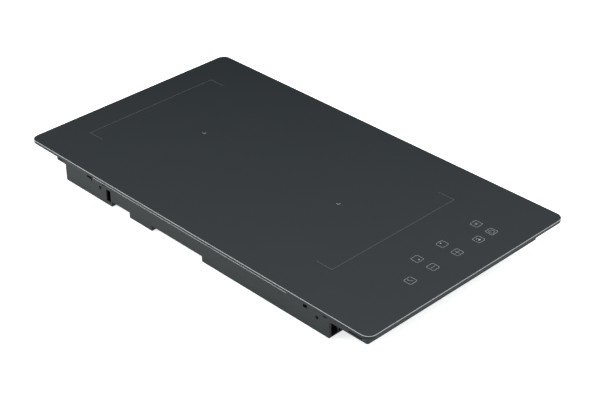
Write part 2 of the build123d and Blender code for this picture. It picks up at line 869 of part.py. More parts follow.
def make_coil_former(zone, coil_y):
    window_angle = 360 / former_window_count
    with BuildPart() as coil_former:
        with BuildSketch(Plane.XY.offset(former_under)):
            with Locations((0, coil_y)):
                Circle(former_radius)
                Circle(sensor_hole_radius, mode=Mode.SUBTRACT)
                with PolarLocations(former_window_circle, former_window_count, start_angle=window_angle / 2):
                    SlotOverall(former_window_length, former_window_width, mode=Mode.SUBTRACT)
        extrude(amount=former_thickness)
        # a low collar keeps the winding central
        with BuildSketch(Plane.XY.offset(winding_under)):
            with Locations((0, coil_y)):
                Circle(former_hub_radius)
                Circle(former_hub_radius - former_collar_wall, mode=Mode.SUBTRACT)
        extrude(amount=winding_wire - former_rib_drop)
        with BuildSketch(Plane.XY.offset(winding_under)):
            with Locations((0, coil_y)):
                rib_circle = former_radius - former_rib_inset
                with PolarLocations(rib_circle, former_window_count, start_angle=window_angle / 2):
                    Rectangle(former_rib_width, former_rib_length)
        extrude(amount=winding_wire - former_rib_drop)
    finish(coil_former, f"{zone}_coil_former")


def make_coil_winding(zone, coil_y):
    """Flat winding; each turn of the stranded wire shows as a round ridge."""
    axis_plane = Plane(origin=(0, coil_y, 0), x_dir=(1, 0, 0), z_dir=(0, -1, 0))
    centre_height = winding_under + winding_wire / 2
    radii = [winding_inner_radius + (turn + 0.5) * winding_pitch for turn in range(winding_turns)]
    with BuildPart() as coil_winding:
        with BuildSketch(axis_plane):
            with Locations(*[(r, centre_height) for r in radii]):
                Circle(winding_wire / 2)
        revolve(axis=Axis((0, coil_y, 0), (0, 0, 1)))
    finish(coil_winding, f"{zone}_coil_winding")


def make_mica_sheet(zone, coil_y):
    with BuildPart() as mica_sheet:
        with BuildSketch(Plane.XY.offset(mica_under)):
            with Locations((0, coil_y)):
                Circle(former_radius)
                Circle(sensor_hole_radius, mode=Mode.SUBTRACT)
        extrude(amount=mica_thickness)
    finish(mica_sheet, f"{zone}_mica_sheet")


def make_ferrites(zone, coil_y):
    with BuildPart() as ferrites:
        with BuildSketch(Plane.XY.offset(ferrite_under)):
            with Locations((0, coil_y)):
                with PolarLocations(ferrite_inner_radius + ferrite_length / 2, former_window_count):
                    Rectangle(ferrite_length, ferrite_width)
        extrude(amount=ferrite_thickness)
        chamfer(ferrites.edges().filter_by(Axis.Z), ferrite_corner)
    finish(ferrites, f"{zone}_ferrites")


def make_sensor(zone, coil_y):
    tip_under = glass_under - sensor_tip_thickness
    with BuildPart() as sensor_boot:
        with BuildSketch(Plane(origin=(0, coil_y, 0), x_dir=(1, 0, 0), z_dir=(0, -1, 0))):
            with BuildLine():
                Polyline(
                    (sensor_tip_radius, coil_plate_top),
                    (sensor_foot_radius, coil_plate_top),
                    (sensor_foot_radius, coil_plate_top + sensor_foot_height),
                    (sensor_boot_radius, coil_plate_top + sensor_shoulder_height),
                    (sensor_boot_radius, tip_under - sensor_chamfer),
                    (sensor_boot_radius - sensor_chamfer, tip_under),
                    (sensor_tip_radius - sensor_lip, tip_under),
                    (sensor_tip_radius - sensor_lip, coil_plate_top + sensor_bore_step),
                    (sensor_tip_radius, coil_plate_top + sensor_bore_step),
                    close=True,
                )
            make_face()
        revolve(axis=Axis((0, coil_y, 0), (0, 0, 1)))
    finish(sensor_boot, f"{zone}_sensor_boot")
    with BuildPart() as temperature_sensor:
        with BuildSketch(Plane.XY.offset(tip_under)):
            with Locations((0, coil_y)):
                Circle(sensor_boot_radius - sensor_lip)
        extrude(amount=sensor_tip_thickness)
        fillet(temperature_sensor.edges().group_by(Axis.Z)[-1], chip_edge)
    finish(temperature_sensor, f"{zone}_temperature_sensor")


def make_bumpers(zone, coil_y):
    """Waisted silicone bumpers that press the coil up against the glass."""
    height = former_under - coil_plate_top
    with BuildPart() as bumpers:
        with BuildSketch(Plane.XZ):
            with BuildLine():
                start = Line((0, 0), (bumper_radius, 0))
                waist = ThreePointArc(start @ 1, (bumper_waist, height / 2), (bumper_radius, height))
                Line(waist @ 1, (0, height))
                Line((0, height), (0, 0))
            make_face()
        revolve(axis=Axis.Z)
    window_angle = 360 / former_window_count
    with BuildPart() as bumper_set:
        with Locations((0, coil_y, coil_plate_top)):
            bumper_circle = former_radius - bumper_radius - bumper_inset
            with PolarLocations(bumper_circle, bumper_count, start_angle=window_angle / 2):
                add(bumpers.part)
    finish(bumper_set, f"{zone}_coil_bumpers")


# ---- power electronics ----


def make_power_board():
    with BuildPart() as power_board:
        with BuildSketch(Plane.XY.offset(board_height)):
            with Locations((0, board_middle)):
                RectangleRounded(2 * board_half_width, board_length, board_corner)
            with Locations(*board_boss_places()):
                Circle(board_hole_radius, mode=Mode.SUBTRACT)
        extrude(amount=board_thickness)
    finish(power_board, "power_board")


def make_heat_sink():
    base_top = heat_sink_under + heat_sink_base
    leg_x = (heat_sink_width - heat_sink_leg) / 2
    leg_y = (heat_sink_length - heat_sink_leg) / 2
    fin_pitch = (heat_sink_width - heat_sink_fin) / (heat_sink_fins - 1)
    with BuildPart() as heat_sink:
        with BuildSketch(Plane.XY.offset(heat_sink_under)):
            with Locations((heat_sink_x, heat_sink_middle)):
                Rectangle(heat_sink_width, heat_sink_length)
        extrude(amount=heat_sink_base)
        with BuildSketch(Plane.XY.offset(base_top)):
            with Locations((heat_sink_x, heat_sink_middle)):
                with GridLocations(fin_pitch, 0, heat_sink_fins, 1):
                    Rectangle(heat_sink_fin, heat_sink_length)
        extrude(amount=heat_sink_height - heat_sink_base)
        with BuildSketch(Plane.XY.offset(board_top)):
            with Locations((heat_sink_x, heat_sink_middle)):
                with GridLocations(2 * leg_x, 2 * leg_y, 2, 2):
                    Rectangle(heat_sink_leg, heat_sink_leg)
        extrude(amount=package_height)
    finish(heat_sink, "heat_sink")


def power_package(places):
    """Flat power packages under the heat sink, each with three bent-down leads."""
    with BuildPart() as packages:
        with BuildSketch(Plane.XY.offset(package_under)):
            with Locations(*places):
                Rectangle(package_width, package_length)
        extrude(amount=package_height)
        chamfer(packages.edges().filter_by(Axis.Z), component_edge)
        with BuildSketch(Plane.XY.offset(package_under)):
            for x, y in places:
                with Locations((x, y - package_length / 2 - package_lead_length / 2 + package_lead_bite)):
                    with GridLocations(package_lead_pitch, 0, package_leads, 1):
                        Rectangle(package_lead_width, package_lead_length)
        extrude(amount=package_lead_thickness)
    return packages


def package_places():
    first = heat_sink_rear - heat_sink_leg - package_length / 2 - package_from_leg
    return [(heat_sink_x, first - row * package_pitch) for row in range(package_count)]


def make_power_packages():
    igbt_transistors = power_package(package_places()[:-1])
    finish(igbt_transistors, "igbt_transistors")
    bridge_rectifier = power_package(package_places()[-1:])
    finish(bridge_rectifier, "bridge_rectifier")


def make_capacitors():
    width, length, height = film_capacitor_size
    right_x = (heat_sink_x + heat_sink_width / 2 + board_half_width) / 2 - film_capacitor_side_shift
    left_x = (heat_sink_x - heat_sink_width / 2 - board_half_width) / 2 + film_capacitor_side_shift
    rear_row = board_rear - film_capacitor_rear_gap
    rows = [rear_row - n * film_capacitor_pitch for n in range(film_capacitor_count)]
    places = [(x, y) for x in (right_x, left_x) for y in rows]
    with BuildPart() as resonance_capacitors:
        with BuildSketch(Plane.XY.offset(board_top)):
            with Locations(*places):
                Rectangle(width, length)
        extrude(amount=height)
        top = resonance_capacitors.faces().filter_by(Axis.Z).group_by(Axis.Z)[-1]
        chamfer(top.edges(), component_edge)
    finish(resonance_capacitors, "resonance_capacitors")
    row = (-board_half_width + electrolytic_from_side, board_front + electrolytic_from_front)
    with BuildPart() as electrolytic_capacitors:
        with BuildSketch(Plane.XY.offset(board_top)):
            with Locations(row):
                with GridLocations(electrolytic_pitch, 0, electrolytic_count, 1):
                    Circle(electrolytic_radius)
        extrude(amount=electrolytic_height)
        top = electrolytic_capacitors.faces().filter_by(Axis.Z).group_by(Axis.Z)[-1]
        fillet(top.edges(), component_edge)
        with BuildSketch(Plane.XY.offset(board_top + electrolytic_height)):
            with Locations(row):
                with GridLocations(electrolytic_pitch, 0, electrolytic_count, 1):
                    Rectangle(score_width, score_length)
                    Rectangle(score_length, score_width)
        extrude(amount=-score_depth, mode=Mode.SUBTRACT)
    finish(electrolytic_capacitors, "electrolytic_capacitors")


def make_filter_choke():
    x, y = (board_half_width - choke_from_side, board_front + choke_from_front)
    core_low = board_top + 2 * choke_wire + choke_stand_off
    with BuildPart() as choke_core:
        with BuildSketch(Plane.XY.offset(core_low)):
            with Locations((x, y)):
                Circle(choke_radius)
                Circle(choke_hole_radius, mode=Mode.SUBTRACT)
        extrude(amount=choke_height)
        fillet(choke_core.edges(), component_edge)
    finish(choke_core, "choke_core")
    # Each turn is a square hoop round the core's section, clear of it by a hair.
    middle = (choke_radius + choke_hole_radius) / 2
    inner_width = choke_radius - choke_hole_radius + 2 * choke_wire_gap
    inner_height = choke_height + 2 * choke_wire_gap
    with BuildPart() as hoop:
        with BuildSketch(Plane.XZ):
            Rectangle(inner_width + 2 * choke_wire, inner_height + 2 * choke_wire)
            Rectangle(inner_width, inner_height, mode=Mode.SUBTRACT)
        extrude(amount=choke_wire / 2, both=True)
    with BuildPart() as choke_winding:
        with Locations((x, y, core_low + choke_height / 2)):
            with PolarLocations(middle, choke_turns):
                add(hoop.part)
        # lead posts stand the choke on the board
        with BuildSketch(Plane.XY.offset(board_top)):
            with Locations((x, y)):
                with PolarLocations(choke_radius + choke_wire_gap + choke_wire / 2, choke_posts):
                    Circle(choke_wire / 2)
        extrude(amount=core_low - board_top + choke_wire)
    finish(choke_winding, "choke_winding")


def boxed_component(name, place, size, low):
    with BuildPart() as component:
        with BuildSketch(Plane.XY.offset(low)):
            with Locations(place):
                Rectangle(size[0], size[1])
        extrude(amount=size[2])
        chamfer(component.faces().sort_by(Axis.Z)[-1].edges(), component_edge)
    finish(component, name)


def make_small_power_parts():
    # supply transformer: winding drum between the limbs of its core
    width, length, height = transformer_size
    x, y = (-board_half_width + transformer_from_side, board_front + front_row_from_front)
    with BuildPart() as supply_transformer:
        with BuildSketch(Plane.XY.offset(board_top)):
            with Locations((x, y)):
                Rectangle(width, length)
        extrude(amount=height)
        with Locations((x, y, board_top + height / 2)):
            Box(width - 2 * transformer_limb, length, height - 2 * transformer_limb, mode=Mode.SUBTRACT)
        with BuildSketch(Plane.XY.offset(board_top + transformer_limb)):
            with Locations((x, y)):
                Circle(length / 2 - transformer_drum_inset)
        extrude(amount=height - 2 * transformer_limb)
    finish(supply_transformer, "supply_transformer")
    relay_place = (heat_sink_x + heat_sink_width / 2 - relay_inset, board_front + front_row_from_front)
    boxed_component("mains_relay", relay_place, relay_size, board_top)
    fuse_middle = (heat_sink_x - fuse_from_heat_sink, board_front + front_row_from_front, board_top + fuse_radius)
    fuse_plane = Plane(origin=fuse_middle, x_dir=(1, 0, 0), z_dir=(0, 1, 0))
    with BuildPart() as mains_fuse:
        with BuildSketch(fuse_plane):
            Circle(fuse_tube_radius)
        extrude(amount=fuse_length / 2, both=True)
        for side in (-1, 1):
            with BuildSketch(fuse_plane.offset(side * (fuse_length - fuse_cap_length) / 2)):
                Circle(fuse_radius)
            extrude(amount=fuse_cap_length / 2, both=True)
    finish(mains_fuse, "mains_fuse")
    with BuildPart() as coil_terminals:
        with BuildSketch(Plane.XY.offset(board_top)):
            with Locations(*coil_terminal_places()):
                Circle(terminal_post_radius)
        extrude(amount=terminal_post_height)
        chamfer(coil_terminals.faces().filter_by(Axis.Z).group_by(Axis.Z)[-1].edges(), fine_edge)
    finish(coil_terminals, "coil_terminals")


def coil_terminal_places():
    ways = [(y, side) for y in (rear_terminal_y, front_coil_y) for side in (-1, 1)]
    return [(coil_terminal_x, y + side * coil_lead_spacing / 2) for y, side in ways]


# ---- blower ----


def blower_outline(shrink):
    """Round scroll with a straight outlet towards the heat sink."""
    reach = blower_outer_radius - shrink
    with BuildSketch() as outline:
        with Locations((blower_x, blower_y)):
            Circle(reach)
        with Locations((blower_x + reach / 2, blower_y - blower_outlet_length / 2)):
            Rectangle(reach, blower_outlet_length)
    return outline.sketch


def make_blower_housing():
    with BuildPart() as blower_housing:
        with BuildSketch(Plane.XY.offset(blower_floor)):
            add(blower_outline(0))
        extrude(amount=blower_height - blower_wall)
        with BuildSketch(Plane.XY.offset(blower_floor + blower_wall)):
            add(blower_outline(blower_wall))
            with Locations((blower_x + blower_outer_radius / 2, blower_front)):
                Rectangle(blower_outer_radius - 2 * blower_wall, blower_outlet_overrun)
        extrude(amount=blower_height, mode=Mode.SUBTRACT)
        with BuildSketch(Plane.XY.offset(blower_floor)):
            with Locations((blower_x, blower_y)):
                Circle(intake_radius)
        extrude(amount=blower_wall, mode=Mode.SUBTRACT)
    finish(blower_housing, "blower_housing")


def make_blower_cover():
    with BuildPart() as blower_cover:
        with BuildSketch(Plane.XY.offset(cover_under)):
            add(blower_outline(0))
            with Locations(*blower_ear_places()):
                Circle(blower_ear_radius)
            with Locations(*blower_ear_places()):
                Circle(board_hole_radius, mode=Mode.SUBTRACT)
        extrude(amount=blower_wall)
        # central tube for the bearing
        with BuildSketch(Plane.XY.offset(bearing_under)):
            with Locations((blower_x, blower_y)):
                Circle(bearing_tube_radius)
        extrude(amount=cover_under - bearing_under)
        with BuildSketch(Plane.XY.offset(bearing_under)):
            with Locations((blower_x, blower_y)):
                Circle(bearing_radius)
        extrude(amount=cover_under - bearing_under, mode=Mode.SUBTRACT)
        # hole for the lead from the motor's circuit board
        with BuildSketch(Plane.XY.offset(cover_under)):
            with Locations((blower_x - fan_lead_offset, blower_y)):
                Circle(fan_lead_radius + fan_lead_hole_gap)
        extrude(amount=blower_wall, mode=Mode.SUBTRACT)
    finish(blower_cover, "blower_cover")
    blower_screws = screw_set(blower_ear_places(), blower_top, blower_screw_length, True)
    finish(blower_screws, "blower_screws")


def make_impeller():
    web_under = impeller_top - impeller_plate
    ring_inner = impeller_radius - impeller_ring_width
    blade_circle = impeller_radius - impeller_ring_width / 2
    with BuildPart() as impeller:
        # cup over the motor: floor, side wall, then the web that carries the blades
        with BuildSketch(Plane.XY.offset(impeller_under)):
            with Locations((blower_x, blower_y)):
                Circle(hub_radius)
        extrude(amount=impeller_height)
        with BuildSketch(Plane.XY.offset(impeller_under + impeller_plate)):
            with Locations((blower_x, blower_y)):
                Circle(hub_radius - hub_wall)
        extrude(amount=impeller_height, mode=Mode.SUBTRACT)
        with BuildSketch(Plane.XY.offset(web_under)):
            with Locations((blower_x, blower_y)):
                Circle(impeller_radius)
                Circle(hub_radius - hub_wall, mode=Mode.SUBTRACT)
        extrude(amount=impeller_plate)
        with BuildSketch(Plane.XY.offset(impeller_under)):
            with Locations((blower_x, blower_y)):
                Circle(impeller_radius)
                Circle(ring_inner, mode=Mode.SUBTRACT)
        extrude(amount=impeller_plate)
        with BuildSketch(Plane.XY.offset(impeller_under + impeller_plate / 2)):
            with Locations((blower_x, blower_y)):
                with PolarLocations(blade_circle, impeller_blades):
                    Rectangle(impeller_blade_length, impeller_blade, rotation=impeller_blade_lean)
                Circle(impeller_radius, mode=Mode.INTERSECT)
        extrude(amount=impeller_height - impeller_plate)
        # boss that grips the shaft
        with BuildSketch(Plane.XY.offset(impeller_under)):
            with Locations((blower_x, blower_y)):
                Circle(bearing_radius)
        extrude(amount=bearing_under - impeller_under - impeller_boss_gap)
        with BuildSketch(Plane.XY.offset(impeller_under)):
            with Locations((blower_x, blower_y)):
                Circle(shaft_radius)
        extrude(amount=impeller_height, mode=Mode.SUBTRACT)
    finish(impeller, "impeller")


def ring_piece(name, low, height, outer_radius, inner_radius):
    """A plain ring on the blower's axis."""
    with BuildPart() as ring:
        with BuildSketch(Plane.XY.offset(low)):
            with Locations((blower_x, blower_y)):
                Circle(outer_radius)
                if inner_radius:
                    Circle(inner_radius, mode=Mode.SUBTRACT)
        extrude(amount=height)
        chamfer(ring.edges().filter_by(GeomType.CIRCLE), ring_edge)
    finish(ring, name)


def make_blower_motor():
    magnet_low = impeller_under + impeller_plate + magnet_floor_gap
    magnet_height = impeller_height - magnet_floor_gap - magnet_top_gap
    ring_piece("rotor_magnet", magnet_low, magnet_height, magnet_outer_radius, magnet_inner_radius)
    ring_piece("fan_shaft", impeller_under, cover_under - impeller_under - shaft_end_gap, shaft_radius, 0)
    ring_piece("fan_bearing", bearing_under, cover_under - bearing_under, bearing_radius, bearing_bore)
    board_low = cover_under - fan_board_thickness
    ring_piece("fan_circuit_board", board_low, fan_board_thickness, fan_board_radius, bearing_tube_radius)
    arm_length = stator_radius - bearing_tube_radius
    arm_middle = bearing_tube_radius + arm_length / 2
    with BuildPart() as fan_stator:
        with BuildSketch(Plane.XY.offset(stator_under)):
            with Locations((blower_x, blower_y)):
                Circle(stator_radius)
                Circle(stator_radius - stator_rim, mode=Mode.SUBTRACT)
                with PolarLocations(stator_radius, stator_poles, start_angle=180 / stator_poles):
                    Rectangle(stator_slot_length, stator_slot_width, mode=Mode.SUBTRACT)
                Circle(bearing_tube_radius + stator_rim)
                with PolarLocations(arm_middle, stator_poles):
                    Rectangle(arm_length - stator_rim / 2, stator_arm)
                Circle(bearing_tube_radius, mode=Mode.SUBTRACT)
        extrude(amount=stator_height)
    finish(fan_stator, "fan_stator")
    coil_inner = bearing_tube_radius + stator_winding_inset
    coil_outer = stator_radius - stator_winding_end
    with BuildPart() as stator_windings:
        with BuildSketch(Plane.XY.offset(stator_under - stator_coil)):
            with Locations((blower_x, blower_y)):
                with PolarLocations((coil_inner + coil_outer) / 2, stator_poles):
                    Rectangle(coil_outer - coil_inner, stator_arm + stator_winding_build)
        extrude(amount=stator_height + 2 * stator_coil)
        with BuildSketch(Plane.XY.offset(stator_under)):
            with Locations((blower_x, blower_y)):
                with PolarLocations((coil_inner + coil_outer) / 2, stator_poles):
                    Rectangle(coil_outer - coil_inner + stator_rim, stator_arm)
        extrude(amount=stator_height, mode=Mode.SUBTRACT)
    finish(stator_windings, "stator_windings")


# ---- mains terminals and cable inlet ----


def terminal_places():
    start = terminal_x - (terminal_poles - 1) * terminal_pitch / 2
    return [start + pole * terminal_pitch for pole in range(terminal_poles)]


def make_terminal_block():
    channel_z = wall + clamp_centre_height
    clamp_width, clamp_length, clamp_height = clamp_size
    block_top = wall + terminal_block_height
    clamp_top = channel_z + clamp_height / 2
    head_top = block_top - clamp_screw_head_sink
    head_under = head_top - clamp_screw_head_height
    with BuildPart() as terminal_block:
        with BuildSketch(Plane.XY.offset(wall)):
            with Locations((terminal_x, terminal_y)):
                RectangleRounded(terminal_block_width, terminal_block_depth, terminal_corner)
        extrude(amount=terminal_block_height)
        for x in terminal_places():
            with Locations((x, terminal_y, channel_z)):
                Box(*[size + 2 * clamp_gap for size in clamp_size], mode=Mode.SUBTRACT)
            with BuildSketch(Plane.XZ.offset(-terminal_y - terminal_block_depth / 2)):
                with Locations((x, channel_z)):
                    Circle(terminal_channel_radius)
            extrude(amount=terminal_block_depth, mode=Mode.SUBTRACT)
            with BuildSketch(Plane.XY.offset(clamp_top)):
                with Locations((x, terminal_y)):
                    Circle(terminal_driver_radius)
            extrude(amount=terminal_block_height, mode=Mode.SUBTRACT)
    finish(terminal_block, "terminal_block")
    with BuildPart() as terminal_clamps:
        for x in terminal_places():
            with Locations((x, terminal_y, channel_z)):
                Box(clamp_width, clamp_length, clamp_height)
        for x in terminal_places():
            with BuildSketch(Plane.XZ.offset(-terminal_y - clamp_length / 2)):
                with Locations((x, channel_z - clamp_bore_drop)):
                    Circle(clamp_bore_radius)
            extrude(amount=clamp_length, mode=Mode.SUBTRACT)
            with BuildSketch(Plane.XY.offset(channel_z)):
                with Locations((x, terminal_y)):
                    Circle(clamp_thread_radius)
            extrude(amount=clamp_height, mode=Mode.SUBTRACT)
    finish(terminal_clamps, "terminal_clamps")
    with BuildPart() as terminal_screws:
        for x in terminal_places():
            with BuildSketch(Plane.XY.offset(channel_z + clamp_screw_reach)):
                with Locations((x, terminal_y)):
                    Circle(clamp_screw_radius)
            extrude(amount=head_under - channel_z - clamp_screw_reach)
            with BuildSketch(Plane.XY.offset(head_under)):
                with Locations((x, terminal_y)):
                    Circle(clamp_screw_head_radius)
            extrude(amount=clamp_screw_head_height)
            with BuildSketch(Plane.XY.offset(head_top)):
                with Locations((x, terminal_y)):
                    Rectangle(*clamp_screw_slot)
            extrude(amount=-clamp_screw_slot_depth, mode=Mode.SUBTRACT)
    finish(terminal_screws, "terminal_screws")


def make_cable_grommet():
    inner_y = deep_rear - wall - grommet_flange_thickness
    outer_y = deep_rear + grommet_flange_thickness
    profile_plane = Plane(origin=(terminal_x, 0, grommet_height), x_dir=(1, 0, 0), z_dir=(0, 0, 1))
    with BuildPart() as cable_grommet:
        with BuildSketch(profile_plane):
            with BuildLine():
                Polyline(
                    (grommet_bore_radius, inner_y),
                    (grommet_flange_radius - grommet_taper, inner_y),
                    (grommet_flange_radius - grommet_taper, deep_rear - wall),
                    (grommet_hole_radius, deep_rear - wall),
                    (grommet_hole_radius, deep_rear),
                    (grommet_flange_radius, deep_rear),
                    (grommet_flange_radius - grommet_taper, outer_y),
                    (grommet_bore_radius, outer_y),
                    close=True,
                )
            make_face()
        revolve(axis=Axis((terminal_x, 0, grommet_height), (0, 1, 0)))
    finish(cable_grommet, "cable_grommet")


# ---- touch controls ----


def control_screw_places():
    x = carrier_half_width - control_screw_inset
    y = carrier_length / 2 - control_screw_inset
    return [(side * x, carrier_middle + end * y) for side in (-1, 1) for end in (-1, 1)]


def make_control_carrier():
    with BuildPart() as control_carrier:
        with BuildSketch(Plane.XY.offset(carrier_under)):
            with Locations((0, carrier_middle)):
                RectangleRounded(2 * carrier_half_width, carrier_length, carrier_corner)
        extrude(amount=land_under - carrier_under)
        with BuildSketch(Plane.XY.offset(carrier_under + carrier_wall)):
            with Locations((0, carrier_middle)):
                Rectangle(2 * (carrier_half_width - carrier_wall), carrier_length - 2 * carrier_wall)
        extrude(amount=land_under, mode=Mode.SUBTRACT)
        with BuildSketch(Plane.XY.offset(carrier_under)):
            with Locations(*control_screw_places()):
                Circle(board_boss_radius)
        extrude(amount=control_board_under - carrier_under)
        with BuildSketch(Plane.XY.offset(carrier_under)):
            with Locations(*control_screw_places()):
                Circle(screw_pilot)
            with Locations((ribbon_x, ribbon_start_y)):
                Rectangle(ribbon_width + 2 * ribbon_slot_gap, ribbon_slot_length)
        extrude(amount=control_board_under - carrier_under, mode=Mode.SUBTRACT)
    finish(control_carrier, "control_carrier")


def make_control_board():
    with BuildPart() as control_board:
        with BuildSketch(Plane.XY.offset(control_board_under)):
            with Locations((0, carrier_middle)):
                RectangleRounded(2 * control_board_half_width, control_board_length, control_board_corner)
            with Locations(*control_screw_places()):
                Circle(board_hole_radius, mode=Mode.SUBTRACT)
        extrude(amount=board_thickness)
    finish(control_board, "control_board")


def make_board_screws():
    """The same short screw holds the power board and the control board."""
    with BuildPart() as board_screws:
        add(screw_set(board_boss_places(), board_top, board_thickness + board_screw_bite, True).part)
        add(screw_set(control_screw_places(), control_board_top, board_thickness + board_screw_bite, True).part)
    finish(board_screws, "board_screws")


def make_touch_posts():
    """Springy conductive posts that carry each key's touch to the underside of the glass."""
    height = glass_under - control_board_top
    with BuildPart() as post:
        with BuildSketch(Plane.XZ):
            with BuildLine():
                base = Line((0, 0), (touch_post_radius, 0))
                waist = ThreePointArc(base @ 1, (touch_post_waist, height / 2), (touch_post_radius, height))
                Line(waist @ 1, (0, height))
                Line((0, height), (0, 0))
            make_face()
        revolve(axis=Axis.Z)
    with BuildPart() as touch_posts:
        with Locations(*[(x, y, control_board_top) for x, y in keys]):
            add(post.part)
    finish(touch_posts, "touch_posts")


def make_control_parts():
    width, length, height = lamp_size
    places = [(x + touch_post_radius + lamp_from_post, y) for x, y in keys]
    with BuildPart() as indicator_lamps:
        with BuildSketch(Plane.XY.offset(control_board_top)):
            with Locations(*places):
                Rectangle(width, length)
        extrude(amount=height)
    finish(indicator_lamps, "indicator_lamps")
    chip_place = (chip_x, key_row_rear)
    with BuildPart() as controller_chip:
        with BuildSketch(Plane.XY.offset(control_board_top)):
            with Locations(chip_place):
                Rectangle(chip_size, chip_size)
        extrude(amount=chip_thickness)
        chamfer(controller_chip.faces().sort_by(Axis.Z)[-1].edges(), chip_edge)
        with BuildSketch(Plane.XY.offset(control_board_top)):
            with Locations(chip_place):
                for turn in (0, 90):
                    with Locations(Rotation(0, 0, turn)):
                        with GridLocations(chip_pin_pitch, chip_size, chip_pins, 2):
                            Rectangle(*chip_pin_size)
        extrude(amount=chip_pin_thickness)
    finish(controller_chip, "controller_chip")
    with BuildPart() as buzzer:
        with BuildSketch(Plane.XY.offset(control_board_top)):
            with Locations((buzzer_x, key_row_rear)):
                Circle(buzzer_radius)
        extrude(amount=buzzer_height)
        fillet(buzzer.edges().group_by(Axis.Z)[-1], fine_edge)
        with BuildSketch(Plane.XY.offset(control_board_top + buzzer_height)):
            with Locations((buzzer_x, key_row_rear)):
                Circle(buzzer_hole_radius)
        extrude(amount=-buzzer_hole_depth, mode=Mode.SUBTRACT)
    finish(buzzer, "buzzer")


# ---- internal leads ----


def make_coil_leads(zone, coil_y, lead_y):
    """A pair of leads from the winding's edge, down through the coil plate, to the power board."""
    winding_z = winding_under + winding_wire / 2
    post_top = board_top + terminal_post_height
    travel_z = post_top + coil_lead_travel
    nearest = min(abs(lead_y + side * coil_lead_spacing / 2 - coil_y) for side in (-1, 1))
    start_x = -sqrt(former_radius**2 - nearest**2) - coil_lead_start_gap
    bends = [coil_lead_bend, coil_lead_bend, coil_lead_end_bend]
    with BuildPart() as coil_leads:
        for side in (-1, 1):
            y = lead_y + side * coil_lead_spacing / 2
            points = [
                (start_x, y, winding_z),
                (lead_hole_x, y, winding_z),
                (lead_hole_x, y, travel_z),
                (coil_terminal_x, y, travel_z),
                (coil_terminal_x, y, post_top),
            ]
            add(tube_run(points, bends, coil_lead_radius))
    finish(coil_leads, f"{zone}_coil_leads")


def make_mains_leads():
    """Live, neutral and earth from the terminal block to the power board."""
    clamp_z = wall + clamp_centre_height - clamp_bore_drop
    travel_z = clamp_z + mains_lead_climb
    end_y = board_rear - mains_lead_from_board_end
    with BuildPart() as mains_leads:
        for pole, x in enumerate(terminal_places()[1 : 1 + mains_lead_count]):
            end_x = board_half_width - mains_lead_from_side + pole * mains_lead_pitch
            points = [
                (x, terminal_front + mains_lead_entry, clamp_z),
                (x, terminal_front - mains_lead_straight, clamp_z),
                (end_x, end_y + mains_lead_approach, travel_z),
                (end_x, end_y, travel_z),
                (end_x, end_y, board_top),
            ]
            add(tube_run(points, mains_lead_bends, mains_lead_radius))
    finish(mains_leads, "mains_leads")


def make_fan_lead():
    start_x = blower_x - fan_lead_offset
    travel_z = blower_top + fan_lead_radius + fan_lead_lift
    side_x = blower_x - blower_outer_radius - fan_lead_side_gap
    end_y = board_rear - fan_lead_from_board_end
    with BuildPart() as fan_lead:
        points = [
            (start_x, blower_y, cover_under),
            (start_x, blower_y, travel_z),
            (start_x - fan_lead_jog[0], blower_y - fan_lead_jog[1], travel_z),
            (side_x, blower_y - fan_lead_side_run, travel_z),
            (side_x, end_y, travel_z),
            (side_x, end_y, board_top),
        ]
        add(tube_run(points, fan_lead_bends, fan_lead_radius))
    finish(fan_lead, "fan_lead")


def make_control_ribbon():
    """Flat cable from the control board's underside down to the power board's front edge."""
    low_z = coil_plate_under - ribbon_drop
    end_y = board_front + ribbon_from_board_front
    side_plane = Plane(origin=(ribbon_x, 0, 0), x_dir=(0, 1, 0), z_dir=(1, 0, 0))
    with BuildPart() as control_ribbon:
        with BuildLine(side_plane) as route:
            FilletPolyline(
                (ribbon_start_y, control_board_under),
                (ribbon_start_y, low_z),
                (end_y, low_z),
                (end_y, board_top),
                radius=ribbon_bend,
            )
        with BuildSketch(Plane(origin=route.line @ 0, x_dir=(1, 0, 0), z_dir=route.line % 0)):
            Rectangle(ribbon_width, ribbon_thickness)
        sweep(path=route.line)
    finish(control_ribbon, "control_ribbon")


def main():
    os.makedirs("parts", exist_ok=True)
    make_glass_plate()
    make_worktop_seal()
    make_bond_bead()
    make_upper_frame()
    make_lower_housing()
    make_housing_screws()
    make_coil_plate()
    for zone, coil_y in (("rear", rear_coil_y), ("front", front_coil_y)):
        make_coil_former(zone, coil_y)
        make_coil_winding(zone, coil_y)
        make_mica_sheet(zone, coil_y)
        make_ferrites(zone, coil_y)
        make_sensor(zone, coil_y)
        make_bumpers(zone, coil_y)
    make_power_board()
    make_heat_sink()
    make_power_packages()
    make_capacitors()
    make_filter_choke()
    make_small_power_parts()
    make_blower_housing()
    make_blower_cover()
    make_impeller()
    make_blower_motor()
    make_terminal_block()
    make_cable_grommet()
    make_control_carrier()
    make_control_board()
    make_board_screws()
    make_touch_posts()
    make_control_parts()
    make_coil_leads("rear", rear_coil_y, rear_terminal_y)
    make_coil_leads("front", front_coil_y, front_coil_y)
    make_mains_leads()
    make_fan_lead()
    make_control_ribbon()


main()
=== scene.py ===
from math import cos, pi, radians, sin, tau

